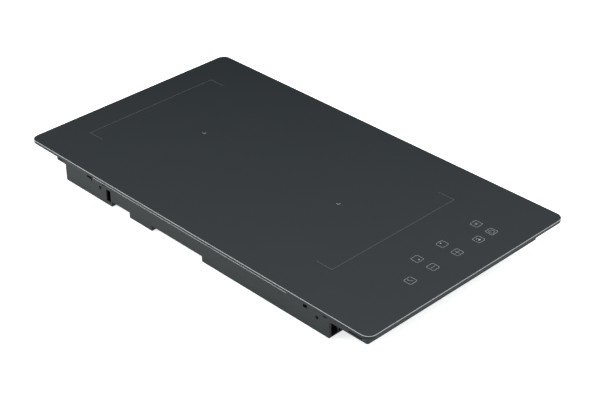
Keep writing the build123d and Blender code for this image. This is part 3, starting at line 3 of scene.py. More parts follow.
import bmesh
import bpy
from bpy.props import FloatProperty, FloatVectorProperty, IntProperty, PointerProperty
from bpy.types import Operator, Panel, PropertyGroup
from mathutils import Euler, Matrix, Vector


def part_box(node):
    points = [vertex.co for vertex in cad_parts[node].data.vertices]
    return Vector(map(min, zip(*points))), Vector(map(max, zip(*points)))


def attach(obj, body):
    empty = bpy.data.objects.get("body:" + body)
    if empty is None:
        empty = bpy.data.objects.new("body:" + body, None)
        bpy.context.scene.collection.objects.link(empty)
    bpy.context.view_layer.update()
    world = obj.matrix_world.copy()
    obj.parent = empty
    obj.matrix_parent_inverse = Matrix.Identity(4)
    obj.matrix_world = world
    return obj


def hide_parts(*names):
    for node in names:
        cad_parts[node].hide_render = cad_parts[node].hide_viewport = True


bl_info = {
    "name": "Built-in Induction Hob",
    "version": (1, 0, 0),
    "blender": (4, 5, 0),
    "location": "3D View > Sidebar > Hob",
    "description": "Dresses the packed hob: ground glass, printed marks, moulded plastic and studio",
    "category": "Object",
}

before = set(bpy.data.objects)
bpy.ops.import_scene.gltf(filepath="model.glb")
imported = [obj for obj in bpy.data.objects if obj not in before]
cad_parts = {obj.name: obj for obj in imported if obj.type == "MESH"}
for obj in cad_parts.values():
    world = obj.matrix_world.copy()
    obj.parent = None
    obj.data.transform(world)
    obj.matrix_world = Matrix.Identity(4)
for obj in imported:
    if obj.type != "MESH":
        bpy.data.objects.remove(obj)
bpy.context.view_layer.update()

MM = 0.001

MITRE_LIMIT = 0.5  # least cosine that a printed line's mitre is drawn out for
INK_BITE = 0.5  # share of the ink's height that is sunk in the glass
TOUCH_POST_RADIUS = 4.5 * MM
GLASS_IOR = 1.5
SENSOR_WIDTH = 36.0  # of the camera, in millimetres
CLIP_START = 0.01

QUARTERS = ((1, 1), (-1, 1), (-1, -1), (1, -1))  # signs of the four corners, counter-clockwise
GROUND_HIGHLIGHT, SIDE = 1, 2  # glass slots of the ground round (frosted, and paler as a painted highlight) and of the sawn side; slot 0 is the polished top


# ---- settings ----


def length(name, description, default, precision=5, **limits):
    """A length in metres."""
    return FloatProperty(
        name=name, description=description, default=default, precision=precision, unit="LENGTH", **limits,
    )


def colour_of(name, description, default):
    """A colour, as linear red, green and blue."""
    return FloatVectorProperty(
        name=name, description=description, default=default, subtype="COLOR", size=3, min=0.0, max=1.0,
    )


def share(name, description, default):
    """A number from nothing to one."""
    return FloatProperty(name=name, description=description, default=default, min=0.0, max=1.0)


def power(name, description, default):
    """The power of a lamp in watts."""
    return FloatProperty(name=name, description=description, default=default, unit="POWER")


class HobGlassSettings(PropertyGroup):
    """Glass-ceramic plate"""

    edge_radius: length("Edge Round", "Radius of the ground edge of the glass", 0.36 * MM, min=0.1 * MM)
    arris: length("Under Arris", "Small bevel round the underside of the glass", 0.25 * MM, min=0.1 * MM)
    # The pale line low on each long side of the glass is a painted reflection of the bright floor, drawn in
    # the ground edge's pale colour.
    reflection_line_low: length("Reflection Line", "Height of the pale line along the long sides", 0.5 * MM)
    reflection_line_width: length(
        "Reflection Line Width", "Width of the pale line along the long sides", 0.38 * MM,
    )
    reflection_line_front: length(
        "Reflection Line Front", "Where the pale line ends towards the keys", -152.0 * MM,
    )
    reflection_line_rear: length(
        "Reflection Line Rear", "Where the pale line ends towards the rear", 146.0 * MM,
    )
    edge_steps: IntProperty(name="Edge Steps", description="Facets round the ground edge", default=8, min=2)
    corner_radius: length("Corner Radius", "Radius of the four corners in plan", 10.0 * MM)
    colour: colour_of("Glass Colour", "Body colour of the dark glass-ceramic", (0.0068, 0.0098, 0.0114))
    roughness: share("Gloss Blur", "Roughness of the polished top", 0.12)
    # pale colour of the ground edge: its frosting, made brighter as a painted highlight along the edge
    ground_and_highlight_colour: colour_of("Ground Edge Colour", "Pale frosting of the ground edge", (0.37, 0.385, 0.39))


class HobPrintSettings(PropertyGroup):
    """Marks fired into the top of the glass"""

    ink_height: length("Ink Height", "How far the fired ink stands above the glass", 0.03 * MM)
    line_width: length("Zone Line", "Width of the zone bracket lines", 0.34 * MM)
    icon_line: length("Icon Line", "Width of the lines in the key icons", 0.30 * MM)
    mark_line: length("Mark Line", "Width of the lines in the centre marks", 0.45 * MM)
    mark_arm: length("Mark Arm", "Length of each arm of the centre marks", 3.0 * MM)
    mark_offset: length("Mark Offset", "From the coil's centre to the corner of its mark", 1.3 * MM)
    key_size: length("Key Size", "Side of the rounded square round each key", 9.6 * MM)
    key_corner: length("Key Corner", "Corner radius of the rounded square", 1.6 * MM)
    bracket_half_width: length("Bracket Half Width", "Half the width of the zone brackets", 90.0 * MM)
    bracket_tail: length("Bracket Tail", "Length of each bracket's side tails", 21.0 * MM)
    rear_reach: length("Rear Reach", "From the rear coil's centre to the rear bracket", 90.9 * MM)
    front_reach: length("Front Reach", "From the front coil's centre to the front bracket", 79.5 * MM)
    ink_colour: colour_of("Ink Colour", "Pale grey ink of marks and icons", (0.34, 0.355, 0.36))
    zone_ink_colour: colour_of("Zone Ink Colour", "Dimmer ink of the zone brackets", (0.098, 0.104, 0.107))


class HobPlasticSettings(PropertyGroup):
    """Moulded housing and frame"""

    housing_colour: colour_of("Housing Colour", "Dark grey of the lower housing", (0.0145, 0.0188, 0.0195))
    frame_colour: colour_of("Frame Colour", "Near black of the upper frame", (0.009, 0.0112, 0.0116))
    grain_size: length("Grain Size", "Spacing of the spark-eroded mould grain", 0.35 * MM)
    grain_depth: length("Grain Depth", "Depth of the mould grain", 0.02 * MM, precision=6)


class HobStudioSettings(PropertyGroup):
    """Floor, lamps, surroundings and camera"""

    floor_size: length("Floor Size", "Side of the pale floor", 9.0, precision=2)
    floor_gap: length("Floor Gap", "Hair's breadth between the base and the floor", 0.02 * MM, precision=6)
    floor_colour: colour_of("Floor Colour", "Plain pale floor", (0.93, 0.93, 0.93))
    table_glow: FloatProperty(
        name="Table Glow", description="Light that comes up through the table top", default=0.67, min=0.0,
    )
    side_power: power("Side Lamp", "Power of the long soft lamp at the rear left", 20.0)
    front_power: power("Front Lamp", "Power of the soft lamp at the front right", 16.0)
    low_power: power("Low Lamp", "Power of the small low lamp by the rear left corner", 1.5)
    top_power: power("Top Lamp", "Power of the wide overhead lamp", 30.0)
    low_sky: colour_of("Low Sky", "Dark surroundings low behind the hob", (0.094, 0.102, 0.105))
    high_sky: colour_of("High Sky", "Surroundings overhead and in front", (0.94, 0.985, 1.0))
    bright_side: FloatVectorProperty(
        name="Bright Side", description="Direction in which the surroundings are brightest",
        subtype="DIRECTION", size=3, default=(-0.694, -0.719, 1.0),
    )
    dark_until: share("Dark Until", "Where the dark part of the surroundings ends", 0.33)
    bright_from: share("Bright From", "Where the bright part of the surroundings begins", 0.46)
    sky_strength: FloatProperty(
        name="Sky Strength", description="Brightness of the surroundings", default=0.85, min=0.0,
    )
    lens: FloatProperty(
        name="Lens", description="Focal length of the camera in millimetres", default=90.81, unit="CAMERA",
    )
    camera_place: FloatVectorProperty(
        name="Camera Place", description="Camera position from the middle of the glass top",
        subtype="TRANSLATION", size=3, unit="LENGTH", default=(-0.94832, -1.00409, 0.83406),
    )
    camera_aim: FloatVectorProperty(
        name="Camera Aim", description="Direction the camera looks along",
        subtype="DIRECTION", size=3, default=(0.58866, 0.60972, -0.53078),
    )
    camera_roll: FloatProperty(
        name="Camera Roll", description="Small turn of the camera about its own line of sight",
        subtype="ANGLE", default=radians(-0.532),
    )


# ---- mesh helpers ----


def mesh_piece(name, bm):
    """Turn a bmesh into an object in the scene."""
    mesh = bpy.data.meshes.new(name)
    bmesh.ops.recalc_face_normals(bm, faces=bm.faces)
    bm.to_mesh(mesh)
    bm.free()
    piece = bpy.data.objects.new(name, mesh)
    bpy.context.scene.collection.objects.link(piece)
    return piece


def arc(centre, radius, start, end, steps):
    """Points round part of a circle; the angles are in degrees."""
    turn = radians(end - start)
    return [
        Vector((centre[0] + radius * cos(radians(start) + turn * step / steps),
                centre[1] + radius * sin(radians(start) + turn * step / steps)))
        for step in range(steps + 1)
    ]


def rounded_square(centre, size, corner, steps=6):
    """Points round a square with rounded corners."""
    reach = size / 2 - corner
    points = []
    for quarter, (sx, sy) in enumerate(QUARTERS):
        middle = (centre[0] + sx * reach, centre[1] + sy * reach)
        points += arc(middle, corner, 90 * quarter, 90 * quarter + 90, steps)
    return points


def stroke(bm, points, width, low, high, closed=False):
    """A printed line: a flat ribbon with mitred joints, as thick as the ink."""
    points = [Vector(p) for p in points]
    count = len(points)
    rings = []
    for index, point in enumerate(points):
        before = points[index - 1] if index or closed else None
        after = points[(index + 1) % count] if index < count - 1 or closed else None
        steps = ((point - before) if before else None, (after - point) if after else None)
        ways = [step.normalized() for step in steps if step]
        along = sum(ways, Vector((0.0, 0.0))).normalized()
        across = Vector((-along.y, along.x))
        reach = width / 2 / max(MITRE_LIMIT, across.dot(Vector((-ways[0].y, ways[0].x))))
        out = across * reach
        corners = ((out, low), (out, high), (-out, high), (-out, low))
        rings.append([bm.verts.new((point.x + o.x, point.y + o.y, z)) for o, z in corners])
    pairs = list(zip(rings, rings[1:])) + ([(rings[-1], rings[0])] if closed else [])
    for first, second in pairs:
        for side in range(len(first)):
            after = (side + 1) % len(first)
            bm.faces.new((first[side], first[after], second[after], second[side]))
    if not closed:
        bm.faces.new(rings[0])
        bm.faces.new(reversed(rings[-1]))


def dot(bm, centre, radius, low, high, steps=16):
    """A printed disc."""
    rim = arc(centre, radius, 0, 360, steps)[:-1]
    under = [bm.verts.new((p.x, p.y, low)) for p in rim]
    over = [bm.verts.new((p.x, p.y, high)) for p in rim]
    bm.faces.new(reversed(under))
    bm.faces.new(over)
    for index in range(steps):
        after = (index + 1) % steps
        bm.faces.new((under[index], under[after], over[after], over[index]))


# ---- material helpers ----


class Finish:
    """A node material under construction, with the few joins that the finishes share."""

    def __init__(self, name, colour, roughness, metallic=0.0, specular=0.5):
        self.material = bpy.data.materials.new(name)
        self.material.use_nodes = True
        self.tree = self.material.node_tree
        self.shader = self.tree.nodes["Principled BSDF"]
        self.shader.inputs["Base Color"].default_value = (*colour, 1.0)
        self.shader.inputs["Roughness"].default_value = roughness
        self.shader.inputs["Metallic"].default_value = metallic
        self.shader.inputs["Specular IOR Level"].default_value = specular
        self.coordinates = self.node("ShaderNodeTexCoord")
        self.place = self.coordinates.outputs["Object"]
        self.relief = None

    def node(self, kind, **values):
        """Add a node, with some of its properties set."""
        made = self.tree.nodes.new(kind)
        for key, value in values.items():
            setattr(made, key, value)
        return made

    def join(self, source, target):
        """Link one socket to another."""
        self.tree.links.new(source, target)

    def stretched(self, scale):
        """Object coordinates stretched by scale, for brushed or laid lines."""
        mapping = self.node("ShaderNodeMapping")
        mapping.inputs["Scale"].default_value = scale
        self.join(self.place, mapping.inputs["Vector"])
        return mapping.outputs["Vector"]

    def noise(self, size, detail=2.0, roughness=0.5, place=None):
        """Noise whose blotches are about size metres across."""
        texture = self.node("ShaderNodeTexNoise")
        texture.inputs["Scale"].default_value = 1.0 / size
        texture.inputs["Detail"].default_value = detail
        texture.inputs["Roughness"].default_value = roughness
        self.join(place or self.place, texture.inputs["Vector"])
        return texture.outputs["Fac"]

    def cells(self, size, feature="F1"):
        """Cells about size metres across, dark at their centres."""
        texture = self.node("ShaderNodeTexVoronoi", feature=feature)
        texture.inputs["Scale"].default_value = 1.0 / size
        self.join(self.place, texture.inputs["Vector"])
        return texture.outputs["Distance"]

    def bands(self, size, direction, distortion=0.0, detail=2.0, detail_scale=1.0):
        """Straight or wandering bands; straight ones across X repeat three times in size metres."""
        wave = self.node("ShaderNodeTexWave", wave_type="BANDS", bands_direction=direction)
        wave.inputs["Scale"].default_value = 1.0 / size
        wave.inputs["Distortion"].default_value = distortion
        wave.inputs["Detail"].default_value = detail
        wave.inputs["Detail Scale"].default_value = detail_scale
        self.join(self.place, wave.inputs["Vector"])
        return wave.outputs["Fac"]

    def spread(self, value, low, high, from_low=0.0, from_high=1.0):
        """Map a value from one span to another."""
        ranger = self.node("ShaderNodeMapRange")
        ranger.inputs["From Min"].default_value = from_low
        ranger.inputs["From Max"].default_value = from_high
        ranger.inputs["To Min"].default_value = low
        ranger.inputs["To Max"].default_value = high
        self.join(value, ranger.inputs["Value"])
        return ranger.outputs["Result"]

    def blend_colours(self, factor, first, second):
        """Mix two colours, or a colour and a socket, by a factor."""
        mixer = self.node("ShaderNodeMix", data_type="RGBA")
        self.join(factor, mixer.inputs["Factor"])
        for socket, colour in ((mixer.inputs["A"], first), (mixer.inputs["B"], second)):
            if isinstance(colour, bpy.types.NodeSocket):
                self.join(colour, socket)
            else:
                socket.default_value = (*colour, 1.0)
        return mixer.outputs["Result"]

    def mottle(self, colour, size, amount):
        """Uneven tone: the colour drifts up and down by amount."""
        factor = self.spread(self.noise(size, detail=3.0), 0.0, 1.0, from_low=0.3, from_high=0.7)
        darker = tuple(c * (1.0 - amount) for c in colour)
        lighter = tuple(min(1.0, c * (1.0 + amount)) for c in colour)
        return self.blend_colours(factor, darker, lighter)

    def painted_chamfer_highlight(self, colour, highlight_colour):
        """Paint a highlight on the faces that slope upwards, such as chamfers and rounds, by blending them
        towards a paler colour.
        """
        facing = self.node("ShaderNodeSeparateXYZ")
        self.join(self.coordinates.outputs["Normal"], facing.inputs["Vector"])
        upward = facing.outputs["Z"]
        from_side = self.spread(upward, 0.0, 1.0, from_low=0.25, from_high=0.5)
        from_top = self.spread(upward, 1.0, 0.0, from_low=0.85, from_high=0.97)
        both = self.node("ShaderNodeMath", operation="MULTIPLY")
        self.join(from_side, both.inputs[0])
        self.join(from_top, both.inputs[1])
        return self.blend_colours(both.outputs["Value"], colour, highlight_colour)

    def set_colour(self, socket):
        """Drive the base colour."""
        self.join(socket, self.shader.inputs["Base Color"])

    def set_roughness(self, value, low, high):
        """Drive the roughness from low to high."""
        self.join(self.spread(value, low, high), self.shader.inputs["Roughness"])

    def bump(self, height, depth, strength):
        """Add a relief; later calls sit on top of the earlier ones."""
        relief = self.node("ShaderNodeBump")
        relief.inputs["Distance"].default_value = depth
        relief.inputs["Strength"].default_value = strength
        self.join(height, relief.inputs["Height"])
        if self.relief is not None:
            self.join(self.relief, relief.inputs["Normal"])
        self.relief = relief.outputs["Normal"]
        self.join(self.relief, self.shader.inputs["Normal"])


def tint(colour, amount):
    """A lighter or darker version of a colour."""
    return tuple(max(0.0, min(1.0, c * amount)) for c in colour)


# ---- finishes ----


def glass_top_finish(settings):
    """Polished glass-ceramic: dark body, faint waviness and a trace of wiping haze."""
    finish = Finish("glass_top", settings.colour, roughness=settings.roughness)
    finish.shader.inputs["IOR"].default_value = GLASS_IOR
    finish.set_colour(finish.mottle(settings.colour, size=60 * MM, amount=0.03))
    haze = finish.noise(45 * MM, detail=4.0, roughness=0.6)
    finish.set_roughness(haze, low=settings.roughness - 0.025, high=settings.roughness + 0.035)
    finish.bump(finish.noise(9 * MM, detail=2.0), depth=0.004 * MM, strength=0.35)
    return finish.material


def glass_side_finish(settings):
    """Sawn and fire-polished side: the same body, duller, with faint saw lines along it."""
    finish = Finish("glass_side", settings.colour, roughness=0.25, specular=0.12)
    saw_lines = finish.noise(0.6 * MM, detail=2.0, roughness=0.5, place=finish.stretched((0.3, 0.3, 4.0)))
    finish.set_colour(finish.mottle(settings.colour, size=12 * MM, amount=0.1))
    finish.set_roughness(saw_lines, low=0.2, high=0.36)
    finish.bump(saw_lines, depth=0.006 * MM, strength=0.3)
    return finish.material


def ground_edge_highlight_finish(settings):
    """Ground and fired edge: fine frosting with faint grinding lines along the edge, its pale colour made
    brighter to paint in the highlight along the edge.
    """
    finish = Finish("glass_ground_edge", settings.ground_and_highlight_colour, roughness=0.32)
    finish.shader.inputs["IOR"].default_value = GLASS_IOR
    grinding = finish.noise(0.5 * MM, detail=3.0, roughness=0.6, place=finish.stretched((1.0, 1.0, 4.0)))
    dull, bright = tint(settings.ground_and_highlight_colour, 0.75), tint(settings.ground_and_highlight_colour, 1.2)
    finish.set_colour(finish.blend_colours(grinding, dull, bright))
    finish.set_roughness(grinding, low=0.22, high=0.42)
    finish.bump(grinding, depth=0.01 * MM, strength=0.5)
    return finish.material


def ink_finish(name, colour):
    """Fired ceramic ink: slightly porous, with soft-edged density changes."""
    finish = Finish(name, colour, roughness=0.45)
    pores = finish.noise(0.25 * MM, detail=3.0, roughness=0.7)
    density = finish.spread(pores, 0.0, 1.0, from_low=0.3, from_high=0.6)
    finish.set_colour(finish.blend_colours(density, tint(colour, 0.82), tint(colour, 1.08)))
    finish.set_roughness(pores, low=0.38, high=0.55)
    finish.bump(pores, depth=0.006 * MM, strength=0.4)
    return finish.material


def moulded_finish(name, colour, grain, depth, rough=0.55, chamfer_highlight=2.6):
    """Glass-filled plastic off a spark-eroded mould: fine grain, flow clouds and a painted highlight on
    chamfers and rounds.
    """
    finish = Finish(name, colour, roughness=rough, specular=0.2)
    clouds = finish.mottle(colour, size=35 * MM, amount=0.06)
    # painted highlight: chamfers and rounds that slope upwards are blended towards a paler copy of the
    # colour
    finish.set_colour(finish.painted_chamfer_highlight(clouds, tint(colour, chamfer_highlight)))
    grains = finish.noise(grain, detail=3.0, roughness=0.65)
    finish.set_roughness(grains, low=rough - 0.1, high=rough + 0.12)
    finish.bump(grains, depth=depth, strength=0.7)
    finish.bump(finish.noise(18 * MM, detail=1.0), depth=0.12 * MM, strength=0.25)
    return finish.material


def glossy_moulding_finish(name, colour):
    """Smooth moulding with a tight sheen and a little sink-mark waviness."""
    finish = Finish(name, colour, roughness=0.3)
    finish.set_colour(finish.mottle(colour, size=8 * MM, amount=0.05))
    finish.set_roughness(finish.noise(3 * MM, detail=3.0), low=0.22, high=0.4)
    finish.bump(finish.noise(4 * MM, detail=1.0), depth=0.05 * MM, strength=0.3)
    return finish.material


def rubber_finish(name, colour, rough=0.75, dust=1.7):
    """Silicone or foam rubber: dull, faintly dusty, with a skin of tiny pits."""
    finish = Finish(name, colour, roughness=rough, specular=0.3)
    dust_noise = finish.noise(2.5 * MM, detail=4.0, roughness=0.7)
    dusting = finish.spread(dust_noise, 0.0, 0.45, from_low=0.45, from_high=0.75)
    finish.set_colour(finish.blend_colours(dusting, colour, tint(colour, dust)))
    pits = finish.cells(0.5 * MM)
    finish.set_roughness(pits, low=rough - 0.08, high=rough + 0.1)
    finish.bump(pits, depth=0.03 * MM, strength=0.5)
    return finish.material


def foam_finish(name, colour):
    """Closed-cell foam strip: open cut bubbles on every face, darker inside with painted shade."""
    finish = Finish(name, colour, roughness=0.85, specular=0.25)
    bubbles = finish.cells(0.9 * MM, "SMOOTH_F1")
    bubble_shade = finish.spread(bubbles, 0.0, 1.0, from_low=0.1, from_high=0.7)
    # painted shade: each bubble is darker towards its sunken middle, its walls paler
    finish.set_colour(finish.blend_colours(bubble_shade, tint(colour, 0.6), tint(colour, 1.5)))
    finish.bump(bubbles, depth=0.15 * MM, strength=0.8)
    return finish.material


def rolled_metal_finish(name, colour, rough, grain=(4.0, 120.0, 120.0), metallic=1.0):
    """Rolled, drawn or extruded metal: fine lines along the work and cloudy handling marks."""
    finish = Finish(name, colour, roughness=rough, metallic=metallic)
    lines = finish.noise(20 * MM, detail=4.0, roughness=0.7, place=finish.stretched(grain))
    clouds = finish.spread(finish.noise(25 * MM, detail=3.0), 0.0, 1.0, from_low=0.3, from_high=0.7)
    finish.set_colour(finish.blend_colours(clouds, tint(colour, 0.9), tint(colour, 1.06)))
    finish.set_roughness(lines, low=rough - 0.1, high=rough + 0.15)
    finish.bump(lines, depth=0.01 * MM, strength=0.5)
    return finish.material


def plated_finish(name, colour, rough):
    """Plated small hardware: bright with brown-grey blooms where the plating is thin."""
    finish = Finish(name, colour, roughness=rough, metallic=1.0)
    bloom_noise = finish.noise(1.2 * MM, detail=4.0, roughness=0.7)
    bloom = finish.spread(bloom_noise, 0.0, 0.6, from_low=0.5, from_high=0.8)
    finish.set_colour(finish.blend_colours(bloom, colour, tint(colour, 0.6)))
    finish.set_roughness(finish.noise(0.6 * MM, detail=3.0), low=rough - 0.08, high=rough + 0.18)
    finish.bump(finish.noise(0.3 * MM, detail=2.0), depth=0.005 * MM, strength=0.4)
    return finish.material


def litz_finish(name, colour):
    """Enamelled stranded copper: each ridge shows the slant of its strands."""
    finish = Finish(name, colour, roughness=0.35, metallic=0.75)
    strands = finish.noise(0.8 * MM, detail=2.0, roughness=0.5, place=finish.stretched((1.0, 1.0, 0.4)))
    finish.set_colour(finish.blend_colours(strands, tint(colour, 0.55), tint(colour, 1.25)))
    finish.set_roughness(strands, low=0.25, high=0.5)
    finish.bump(strands, depth=0.12 * MM, strength=0.7)
    return finish.material


def ceramic_finish(name, colour, rough, speckle=0.12):
    """Sintered body: dull, finely speckled, with the odd pressed scuff."""
    finish = Finish(name, colour, roughness=rough)
    specks = finish.cells(0.45 * MM)
    dark, pale = tint(colour, 1.0 - speckle), tint(colour, 1.0 + speckle)
    finish.set_colour(finish.blend_colours(specks, dark, pale))
    finish.set_roughness(finish.noise(3 * MM, detail=3.0), low=rough - 0.08, high=rough + 0.1)
    finish.bump(specks, depth=0.02 * MM, strength=0.4)
    return finish.material


def mica_finish(name, colour):
    """Pressed mica: overlapping pearly flakes."""
    finish = Finish(name, colour, roughness=0.35)
    flakes = finish.cells(5 * MM)
    finish.set_colour(finish.blend_colours(flakes, tint(colour, 0.7), tint(colour, 1.25)))
    finish.set_roughness(flakes, low=0.25, high=0.55)
    finish.bump(flakes, depth=0.05 * MM, strength=0.5)
    return finish.material


def circuit_finish(name, colour):
    """Solder resist over copper: pale tracks and pads show through the green."""
    finish = Finish(name, colour, roughness=0.35)
    bands = finish.bands(9 * MM, "DIAGONAL", distortion=3.0, detail=0.0, detail_scale=0.4)
    tracks = finish.spread(bands, 0.0, 1.0, from_low=0.62, from_high=0.68)
    resist = finish.blend_colours(tracks, tint(colour, 0.8), tint(colour, 1.5))
    pads = finish.spread(finish.cells(4.2 * MM), 1.0, 0.0, from_low=0.13, from_high=0.16)
    tinned = (0.62, 0.6, 0.55)
    finish.set_colour(finish.blend_colours(pads, resist, tinned))
    finish.set_roughness(tracks, low=0.42, high=0.28)
    finish.bump(tracks, depth=0.035 * MM, strength=0.8)
    return finish.material


def ribbon_finish(name, colour):
    """Flat cable: one groove between each pair of conductors, darkened with painted shade."""
    finish = Finish(name, colour, roughness=0.5)
    grooves_and_shade = finish.bands(6.4 * MM, "X")
    # painted shade: the colour darkens down into each groove
    finish.set_colour(finish.blend_colours(grooves_and_shade, tint(colour, 0.6), colour))
    finish.set_roughness(finish.noise(2 * MM, detail=2.0), low=0.42, high=0.6)
    finish.bump(grooves_and_shade, depth=0.3 * MM, strength=0.8)
    return finish.material


def lens_finish(name, colour):
    """Tinted lamp lens."""
    finish = Finish(name, colour, roughness=0.15)
    finish.shader.inputs["Transmission Weight"].default_value = 0.3
    finish.set_colour(finish.mottle(colour, size=0.6 * MM, amount=0.1))
    finish.bump(finish.noise(0.4 * MM, detail=1.0), depth=0.01 * MM, strength=0.3)
    return finish.material


def dress(material, *nodes):
    """Give CAD nodes a finish, keeping their shape and place."""
    for name in nodes:
        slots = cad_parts[name].data.materials
        if not slots:
            slots.append(material)
        for index in range(len(slots)):
            slots[index] = material


def both_zones(*stems):
    """Node names for the rear and the front zone."""
    return [f"{zone}_{stem}" for zone in ("rear", "front") for stem in stems]


# ---- glass and printed marks ----


def glass_outline(width, depth, radius, stops, steps=14):
    """Points round the plate in plan, with two stops along each long side."""
    points = []
    front, rear = stops
    side = width / 2
    side_stops = {1: ((-side, rear), (-side, front)), 3: ((side, front), (side, rear))}
    for quarter, (sx, sy) in enumerate(QUARTERS):
        middle = (sx * (width / 2 - radius), sy * (depth / 2 - radius))
        points += arc(middle, radius, 90 * quarter, 90 * quarter + 90, steps)
        points += [Vector(stop) for stop in side_stops.get(quarter, ())]
    return points


class HOB_OT_glass_plate(Operator):
    """Build the glass-ceramic plate with its ground, rounded edge"""

    bl_idname = "hob.glass_plate"
    bl_label = "Glass Plate"

    def execute(self, context):
        settings = context.scene.hob_glass
        ink = context.scene.hob_print.ink_height
        low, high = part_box("glass_plate")
        width, depth = high.x - low.x, high.y - low.y
        top, under = high.z - ink, low.z
        radius, arris = settings.edge_radius, settings.arris
        stops = (settings.reflection_line_front, settings.reflection_line_rear)
        stop_span = stops[1] - stops[0]
        line_low = under + settings.reflection_line_low
        line_high = line_low + settings.reflection_line_width
        profile = [(arris, under), (0.0, under + arris), (0.0, line_low), (0.0, line_high)]
        line_band, round_band = 2, 4  # bands of the profile, counted up from the arris; band 2 holds the painted reflection line
        for step in range(settings.edge_steps + 1):
            angle = pi / 2 * step / settings.edge_steps
            profile.append((radius * (1 - cos(angle)), top - radius * (1 - sin(angle))))
        bm = bmesh.new()
        rings = []
        for inset, z in profile:
            corner = settings.corner_radius - inset
            outline = glass_outline(width - 2 * inset, depth - 2 * inset, corner, stops)
            rings.append([bm.verts.new((p.x, p.y, z)) for p in outline])
        count = len(rings[0])
        for band, (lower, upper) in enumerate(zip(rings, rings[1:])):
            for index in range(count):
                after = (index + 1) % count
                face = bm.faces.new((lower[index], lower[after], upper[after], upper[index]))
                between_stops = abs(abs(lower[after].co.y - lower[index].co.y) - stop_span) < radius
                on_line = band == line_band and between_stops
                # the ground round and the pale line on the long sides take the pale slot, with its painted
                # highlight
                face.material_index = GROUND_HIGHLIGHT if band >= round_band or on_line else SIDE
        bm.faces.new(rings[-1])
        bm.faces.new(reversed(rings[0]))
        plate = mesh_piece("glass_ceramic_plate", bm)
        for polygon in plate.data.polygons:
            polygon.use_smooth = polygon.material_index == GROUND_HIGHLIGHT
        for make_finish in (glass_top_finish, ground_edge_highlight_finish, glass_side_finish):
            plate.data.materials.append(make_finish(settings))
        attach(plate, "hob_body")
        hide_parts("glass_plate")
        return {"FINISHED"}


def ink_span(context):
    """Lowest and highest height of the ink, which ends flush with the CAD plate."""
    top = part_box("glass_plate")[1].z
    return top - (1 + INK_BITE) * context.scene.hob_print.ink_height, top


def centre_of(node):
    """Middle of a CAD node's box."""
    low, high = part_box(node)
    return (Vector(low) + Vector(high)) / 2


def printed_piece(name, bm, material):
    """Make a printed mark a piece that rides on the glass."""
    piece = mesh_piece(name, bm)
    piece.data.materials.append(material)
    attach(piece, "hob_body")


class HOB_OT_zone_marks(Operator):
    """Print the two open brackets that bound the cooking zones, and their centre marks"""

    bl_idname = "hob.zone_marks"
    bl_label = "Zone Marks"

    def execute(self, context):
        settings = context.scene.hob_print
        low, high = ink_span(context)
        line = ink_finish("zone_ink", settings.zone_ink_colour)
        bright = ink_finish("centre_ink", settings.ink_colour)
        half = settings.bracket_half_width
        zones = (("rear", 1, settings.rear_reach), ("front", -1, settings.front_reach))
        for zone, way, reach in zones:
            middle = centre_of(f"{zone}_coil_former")
            edge = middle.y + way * reach
            tail = edge - way * settings.bracket_tail
            bm = bmesh.new()
            bracket = [(-half, tail), (-half, edge), (half, edge), (half, tail)]
            stroke(bm, bracket, settings.line_width, low, high)
            printed_piece(f"{zone}_zone_bracket", bm, line)
            bm = bmesh.new()
            x, y = middle.x - settings.mark_offset, middle.y - settings.mark_offset
            arm = settings.mark_arm
            stroke(bm, [(x, y + arm), (x, y), (x + arm, y)], settings.mark_line, low, high)
            printed_piece(f"{zone}_centre_mark", bm, bright)
        return {"FINISHED"}


# Each glyph draws a key's symbol about the key's centre (x, y); line is the width of a plain line.


def power_glyph(bm, x, y, line, low, high):
    """A ring that is open at the top, with a bar in the opening."""
    ring_radius, ring_start, ring_end, ring_steps = 2.9 * MM, 118, 422, 24
    bar_foot, bar_tip = 0.3 * MM, 3.3 * MM
    stroke(bm, arc((x, y), ring_radius, ring_start, ring_end, ring_steps), line, low, high)
    stroke(bm, [(x, y + bar_foot), (x, y + bar_tip)], line, low, high)


def lock_glyph(bm, x, y, line, low, high):
    """A padlock with its shackle open."""
    body_y, body_half_width, body_height = y - 1.1 * MM, 1.4 * MM, 1.5 * MM
    stroke(bm, [(x - body_half_width, body_y), (x + body_half_width, body_y)], body_height, low, high)
    shackle_x, shackle_y, shackle_radius = x - 0.6 * MM, y + 1.3 * MM, 1.15 * MM
    foot, tip = y - 0.3 * MM, y + 0.6 * MM
    bow = arc((shackle_x, shackle_y), shackle_radius, 0, 180, 10)
    shackle = [(shackle_x + shackle_radius, foot)] + bow + [(shackle_x - shackle_radius, tip)]
    stroke(bm, shackle, line, low, high)


def bridge_glyph(bm, x, y, line, low, high):
    """Three short waves one above another, in a finer line."""
    half_width, wave_height, pitch = 1.6 * MM, 0.3 * MM, 1.0 * MM
    waves, steps, fine = 2, 16, 0.75
    for row in (-1, 0, 1):
        points = []
        for step in range(steps + 1):
            rise = wave_height * sin(waves * tau * step / steps)
            points.append((x + half_width * (2 * step / steps - 1), y + row * pitch + rise))
        stroke(bm, points, fine * line, low, high)


def zone_glyph(offset_x, offset_y, radius=0.8 * MM):
    """A dot that stands for one zone, in the part of the key where that zone lies."""

    def draw(bm, x, y, line, low, high):
        dot(bm, (x + offset_x, y + offset_y), radius, low, high)

    return draw


SIGN_REACH = 3.2 * MM  # from the middle of a plus or minus to the ends of its bars


def minus_glyph(bm, x, y, line, low, high):
    """A bar."""
    stroke(bm, [(x - SIGN_REACH, y), (x + SIGN_REACH, y)], line, low, high)


def plus_glyph(bm, x, y, line, low, high):
    """A cross, whose upright is in two halves that end at the bar's edges."""
    minus_glyph(bm, x, y, line, low, high)
    for way in (1, -1):
        stroke(bm, [(x, y + way * line / 2), (x, y + way * SIGN_REACH)], line, low, high)


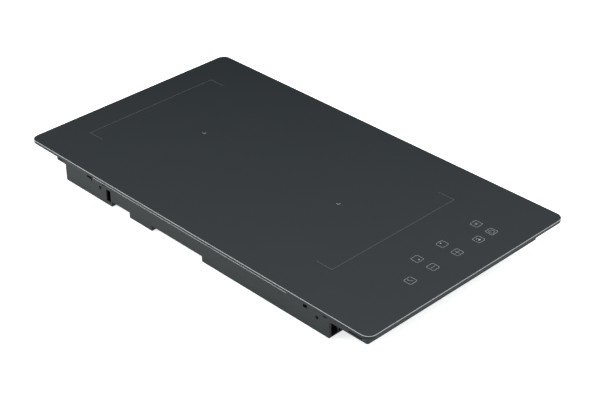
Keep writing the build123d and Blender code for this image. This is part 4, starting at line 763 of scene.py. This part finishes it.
def timer_glyph(bm, x, y, line, low, high):
    """The two hands of a clock."""
    hub = (x - 0.9 * MM, y + 0.65 * MM)
    minute_tip = (x - 0.9 * MM, y + 3.2 * MM)
    hour_tip = (x + 1.9 * MM, y - 2.2 * MM)
    stroke(bm, [minute_tip, hub, hour_tip], line, low, high)


# key name, column from the centre line in millimetres, row, glyph
KEYS = (
    ("bridge", 71.0, "rear", bridge_glyph),
    ("rear_zone", 19.0, "rear", zone_glyph(0.0, 2.2 * MM)),
    ("front_zone", -18.0, "rear", zone_glyph(0.4 * MM, -2.0 * MM)),
    ("power", 71.0, "front", power_glyph),
    ("lock", 51.0, "front", lock_glyph),
    ("plus", 18.5, "front", plus_glyph),
    ("minus", -17.5, "front", minus_glyph),
    ("timer", -50.0, "front", timer_glyph),
)


class HOB_OT_key_icons(Operator):
    """Print a rounded square and a plain symbol over each touch post"""

    bl_idname = "hob.key_icons"
    bl_label = "Key Icons"

    def execute(self, context):
        settings = context.scene.hob_print
        low, high = ink_span(context)
        posts_low, posts_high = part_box("touch_posts")
        rows = {"rear": posts_high.y - TOUCH_POST_RADIUS, "front": posts_low.y + TOUCH_POST_RADIUS}
        material = ink_finish("icon_ink", settings.ink_colour)
        for name, column, row, glyph in KEYS:
            x, y = column * MM, rows[row]
            bm = bmesh.new()
            outline = rounded_square((x, y), settings.key_size, settings.key_corner)
            stroke(bm, outline, settings.icon_line, low, high, closed=True)
            glyph(bm, x, y, settings.icon_line, low, high)
            printed_piece(f"key_icon_{name}", bm, material)
        return {"FINISHED"}


# ---- finishes on the CAD pieces ----


class HOB_OT_housing_finish(Operator):
    """Finish the moulded housing, the upper frame, the seal and the bond"""

    bl_idname = "hob.housing_finish"
    bl_label = "Housing and Frame"

    def execute(self, context):
        settings = context.scene.hob_plastic
        grain, depth = settings.grain_size, settings.grain_depth
        housing = moulded_finish("housing_plastic", settings.housing_colour, grain=grain, depth=depth)
        dress(housing, "lower_housing")
        upper = moulded_finish(
            "frame_plastic", settings.frame_colour, grain=grain, depth=depth, rough=0.5, chamfer_highlight=1.4,
        )
        dress(upper, "upper_frame")
        dress(foam_finish("seal_foam", (0.028, 0.028, 0.029)), "worktop_seal")
        dress(rubber_finish("bond_silicone", (0.03, 0.03, 0.03), rough=0.5), "bond_bead")
        dress(rubber_finish("grommet_rubber", (0.025, 0.025, 0.026)), "cable_grommet")
        return {"FINISHED"}


class HOB_OT_fastener_finish(Operator):
    """Finish every screw, post and clamp"""

    bl_idname = "hob.fastener_finish"
    bl_label = "Screws and Clamps"

    def execute(self, context):
        zinc = plated_finish("zinc_plate", (0.62, 0.63, 0.65), rough=0.3)
        dress(zinc, "housing_screws", "coil_plate_screws", "board_screws", "blower_screws")
        dress(zinc, "terminal_screws")
        brass = plated_finish("turned_brass", (0.78, 0.58, 0.28), rough=0.28)
        dress(brass, "coil_terminals", "terminal_clamps")
        return {"FINISHED"}


class HOB_OT_coil_finish(Operator):
    """Finish the coil plate and everything on it"""

    bl_idname = "hob.coil_finish"
    bl_label = "Coils"

    def execute(self, context):
        dress(rolled_metal_finish("rolled_aluminium", (0.80, 0.81, 0.82), rough=0.35), "coil_plate")
        former = moulded_finish("former_plastic", (0.62, 0.58, 0.47), grain=0.5 * MM, depth=0.02 * MM)
        dress(former, *both_zones("coil_former"))
        dress(litz_finish("stranded_copper", (0.72, 0.33, 0.14)), *both_zones("coil_winding"))
        dress(mica_finish("pressed_mica", (0.50, 0.42, 0.28)), *both_zones("mica_sheet"))
        ferrite = ceramic_finish("sintered_ferrite", (0.045, 0.046, 0.05), rough=0.55)
        dress(ferrite, *both_zones("ferrites"))
        silicone = rubber_finish("silicone_boot", (0.35, 0.08, 0.05))
        dress(silicone, *both_zones("sensor_boot", "coil_bumpers"))
        sensor = ceramic_finish("sensor_ceramic", (0.72, 0.71, 0.68), rough=0.3, speckle=0.05)
        dress(sensor, *both_zones("temperature_sensor"))
        return {"FINISHED"}


class HOB_OT_power_finish(Operator):
    """Finish the power board and its parts"""

    bl_idname = "hob.power_finish"
    bl_label = "Power Board"

    def execute(self, context):
        dress(circuit_finish("solder_resist", (0.03, 0.16, 0.07)), "power_board", "fan_circuit_board")
        extruded = rolled_metal_finish(
            "extruded_aluminium", (0.72, 0.73, 0.74), rough=0.4, grain=(120.0, 4.0, 120.0),
        )
        dress(extruded, "heat_sink")
        packages = moulded_finish(
            "package_epoxy", (0.025, 0.025, 0.027), grain=0.2 * MM, depth=0.01 * MM, rough=0.5, chamfer_highlight=1.3,
        )
        dress(packages, "igbt_transistors", "bridge_rectifier", "controller_chip")
        dress(glossy_moulding_finish("capacitor_epoxy", (0.42, 0.07, 0.04)), "resonance_capacitors")
        sleeve = rolled_metal_finish("capacitor_sleeve", (0.10, 0.11, 0.16), rough=0.35, metallic=0.3)
        dress(sleeve, "electrolytic_capacitors")
        core = ceramic_finish("core_ferrite", (0.06, 0.06, 0.065), rough=0.5)
        dress(core, "choke_core", "supply_transformer")
        dress(litz_finish("enamelled_wire", (0.66, 0.28, 0.12)), "choke_winding")
        dress(glossy_moulding_finish("relay_case", (0.03, 0.05, 0.12)), "mains_relay")
        dress(ceramic_finish("fuse_ceramic", (0.80, 0.79, 0.75), rough=0.3, speckle=0.04), "mains_fuse")
        return {"FINISHED"}


class HOB_OT_blower_finish(Operator):
    """Finish the cooling blower and its motor"""

    bl_idname = "hob.blower_finish"
    bl_label = "Blower"

    def execute(self, context):
        case = moulded_finish(
            "blower_plastic", (0.03, 0.03, 0.032), grain=0.4 * MM, depth=0.015 * MM, rough=0.45,
        )
        dress(case, "blower_housing", "blower_cover")
        dress(glossy_moulding_finish("impeller_plastic", (0.035, 0.035, 0.038)), "impeller")
        dress(ceramic_finish("magnet_ring", (0.07, 0.065, 0.06), rough=0.45), "rotor_magnet")
        dress(plated_finish("ground_steel", (0.66, 0.66, 0.67), rough=0.18), "fan_shaft")
        dress(plated_finish("sintered_bronze", (0.55, 0.38, 0.2), rough=0.4), "fan_bearing")
        laminated = rolled_metal_finish(
            "laminated_steel", (0.35, 0.36, 0.38), rough=0.45, grain=(4.0, 4.0, 300.0),
        )
        dress(laminated, "fan_stator")
        dress(litz_finish("stator_wire", (0.70, 0.30, 0.13)), "stator_windings")
        return {"FINISHED"}


class HOB_OT_wiring_finish(Operator):
    """Finish the terminals, the control parts and the internal leads"""

    bl_idname = "hob.wiring_finish"
    bl_label = "Wiring and Controls"

    def execute(self, context):
        dress(glossy_moulding_finish("terminal_plastic", (0.62, 0.61, 0.57)), "terminal_block")
        carrier = moulded_finish("carrier_plastic", (0.05, 0.05, 0.053), grain=0.4 * MM, depth=0.015 * MM)
        dress(carrier, "control_carrier")
        dress(circuit_finish("control_resist", (0.02, 0.10, 0.05)), "control_board")
        dress(rubber_finish("conductive_rubber", (0.08, 0.08, 0.085)), "touch_posts")
        dress(lens_finish("lamp_lens", (0.75, 0.08, 0.05)), "indicator_lamps")
        dress(glossy_moulding_finish("buzzer_case", (0.02, 0.02, 0.022)), "buzzer")
        sleeve = rubber_finish("lead_sleeve", (0.45, 0.04, 0.03), rough=0.5, dust=1.2)
        dress(sleeve, "mains_leads", "fan_lead", *both_zones("coil_leads"))
        dress(ribbon_finish("flat_cable", (0.72, 0.72, 0.70)), "control_ribbon")
        return {"FINISHED"}


# ---- studio ----


# lamp name, place, size and aim, in metres; a lamp with no aim points at the middle of the glass
LAMPS = (
    ("side", (-1.6, 1.3, 1.35), (1.2, 1.6), None),
    ("front", (1.3, -1.5, 1.45), (1.4, 1.0), None),
    ("low", (-0.75, 0.5, 0.25), (0.3, 0.3), (-0.13, 0.26, 0.02)),
    ("top", (-0.3, -0.2, 2.6), (2.6, 2.6), None),
)


def soft_lamp(name, place, target, size, watts):
    """A rectangular soft lamp aimed at a point; it is neither seen nor mirrored."""
    light = bpy.data.lights.new(name, "AREA")
    light.shape = "RECTANGLE"
    light.size, light.size_y = size
    light.energy = watts
    lamp = bpy.data.objects.new(name, light)
    lamp.location = place
    lamp.rotation_euler = (Vector(target) - Vector(place)).to_track_quat("-Z", "Y").to_euler()
    lamp.visible_camera = False
    lamp.visible_glossy = False
    bpy.context.scene.collection.objects.link(lamp)


def sky_world(settings):
    """Surroundings that are dark low behind the hob and bright overhead and in front of it."""
    world = bpy.data.worlds.new("studio_surroundings")
    world.use_nodes = True
    tree = world.node_tree
    background = tree.nodes["Background"]
    place = tree.nodes.new("ShaderNodeTexCoord")
    lean = tree.nodes.new("ShaderNodeVectorMath")
    lean.operation = "DOT_PRODUCT"
    lean.inputs[1].default_value = Vector(settings.bright_side).normalized()
    ramp = tree.nodes.new("ShaderNodeValToRGB")
    shift = tree.nodes.new("ShaderNodeMapRange")
    shift.inputs["From Min"].default_value = -1.0
    tree.links.new(place.outputs["Generated"], lean.inputs[0])
    tree.links.new(lean.outputs["Value"], shift.inputs["Value"])
    tree.links.new(shift.outputs["Result"], ramp.inputs["Fac"])
    tree.links.new(ramp.outputs["Color"], background.inputs["Color"])
    low, high = ramp.color_ramp.elements
    low.position, low.color = settings.dark_until, (*settings.low_sky, 1.0)
    high.position, high.color = settings.bright_from, (*settings.high_sky, 1.0)
    background.inputs["Strength"].default_value = settings.sky_strength
    bpy.context.scene.world = world


def pale_floor(settings):
    """A large plain light table, lit a little from below."""
    half = settings.floor_size / 2
    bm = bmesh.new()
    corners = ((-half, -half), (half, -half), (half, half), (-half, half))
    bm.faces.new([bm.verts.new((x, y, -settings.floor_gap)) for x, y in corners])
    floor = mesh_piece("studio_floor", bm)
    finish = Finish("table_acrylic", settings.floor_colour, roughness=0.9, specular=0.1)
    finish.set_colour(finish.mottle(settings.floor_colour, size=0.4, amount=0.004))
    finish.bump(finish.noise(1.5 * MM, detail=2.0), depth=0.02 * MM, strength=0.2)
    finish.shader.inputs["Emission Color"].default_value = (1.0, 1.0, 1.0, 1.0)
    finish.shader.inputs["Emission Strength"].default_value = settings.table_glow
    floor.data.materials.append(finish.material)


def hob_camera(settings):
    """The camera, placed from the middle of the glass top."""
    data = bpy.data.cameras.new("hob_camera")
    data.sensor_width = SENSOR_WIDTH
    data.lens = settings.lens
    data.clip_start = CLIP_START
    camera = bpy.data.objects.new("hob_camera", data)
    top = Vector((0.0, 0.0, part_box("glass_plate")[1].z))
    camera.location = top + Vector(settings.camera_place)
    aim = Vector(settings.camera_aim).to_track_quat("-Z", "Y")
    roll = Euler((0.0, 0.0, settings.camera_roll)).to_quaternion()
    camera.rotation_euler = (aim @ roll).to_euler()
    bpy.context.scene.collection.objects.link(camera)
    bpy.context.scene.camera = camera


class HOB_OT_studio(Operator):
    """Set out the pale floor, the soft lamps, the surroundings and the camera"""

    bl_idname = "hob.studio"
    bl_label = "Studio"

    def execute(self, context):
        settings = context.scene.hob_studio
        context.scene.view_settings.view_transform = "Standard"
        context.scene.view_settings.look = "None"
        pale_floor(settings)
        sky_world(settings)
        middle = (0.0, 0.0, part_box("glass_plate")[1].z)
        for name, place, size, aim in LAMPS:
            soft_lamp(f"{name}_lamp", place, aim or middle, size, getattr(settings, f"{name}_power"))
        hob_camera(settings)
        return {"FINISHED"}


# ---- panel and registration ----


class HOB_PT_panel(Panel):
    """Steps and settings of the hob"""

    bl_idname = "HOB_PT_panel"
    bl_label = "Induction Hob"
    bl_space_type = "VIEW_3D"
    bl_region_type = "UI"
    bl_category = "Hob"

    def draw(self, context):
        layout = self.layout
        for step in STEPS:
            layout.operator(step.bl_idname)
        for name in SETTINGS:
            box = layout.box()
            group = getattr(context.scene, name)
            for key in group.__annotations__:
                box.prop(group, key)


SETTINGS = {
    "hob_glass": HobGlassSettings,
    "hob_print": HobPrintSettings,
    "hob_plastic": HobPlasticSettings,
    "hob_studio": HobStudioSettings,
}

STEPS = (
    HOB_OT_studio,
    HOB_OT_glass_plate,
    HOB_OT_zone_marks,
    HOB_OT_key_icons,
    HOB_OT_housing_finish,
    HOB_OT_fastener_finish,
    HOB_OT_coil_finish,
    HOB_OT_power_finish,
    HOB_OT_blower_finish,
    HOB_OT_wiring_finish,
)


def register():
    """Register the classes and hang the settings on the scene."""
    for cls in (*SETTINGS.values(), *STEPS, HOB_PT_panel):
        bpy.utils.register_class(cls)
    for name, cls in SETTINGS.items():
        setattr(bpy.types.Scene, name, PointerProperty(type=cls))


def unregister():
    """Undo register."""
    for name in SETTINGS:
        delattr(bpy.types.Scene, name)
    for cls in reversed((*SETTINGS.values(), *STEPS, HOB_PT_panel)):
        bpy.utils.unregister_class(cls)


def main():
    """Run every step once, in order."""
    register()
    for step in STEPS:
        area, name = step.bl_idname.split(".")
        getattr(getattr(bpy.ops, area), name)()


if __name__ == "__main__":
    main()
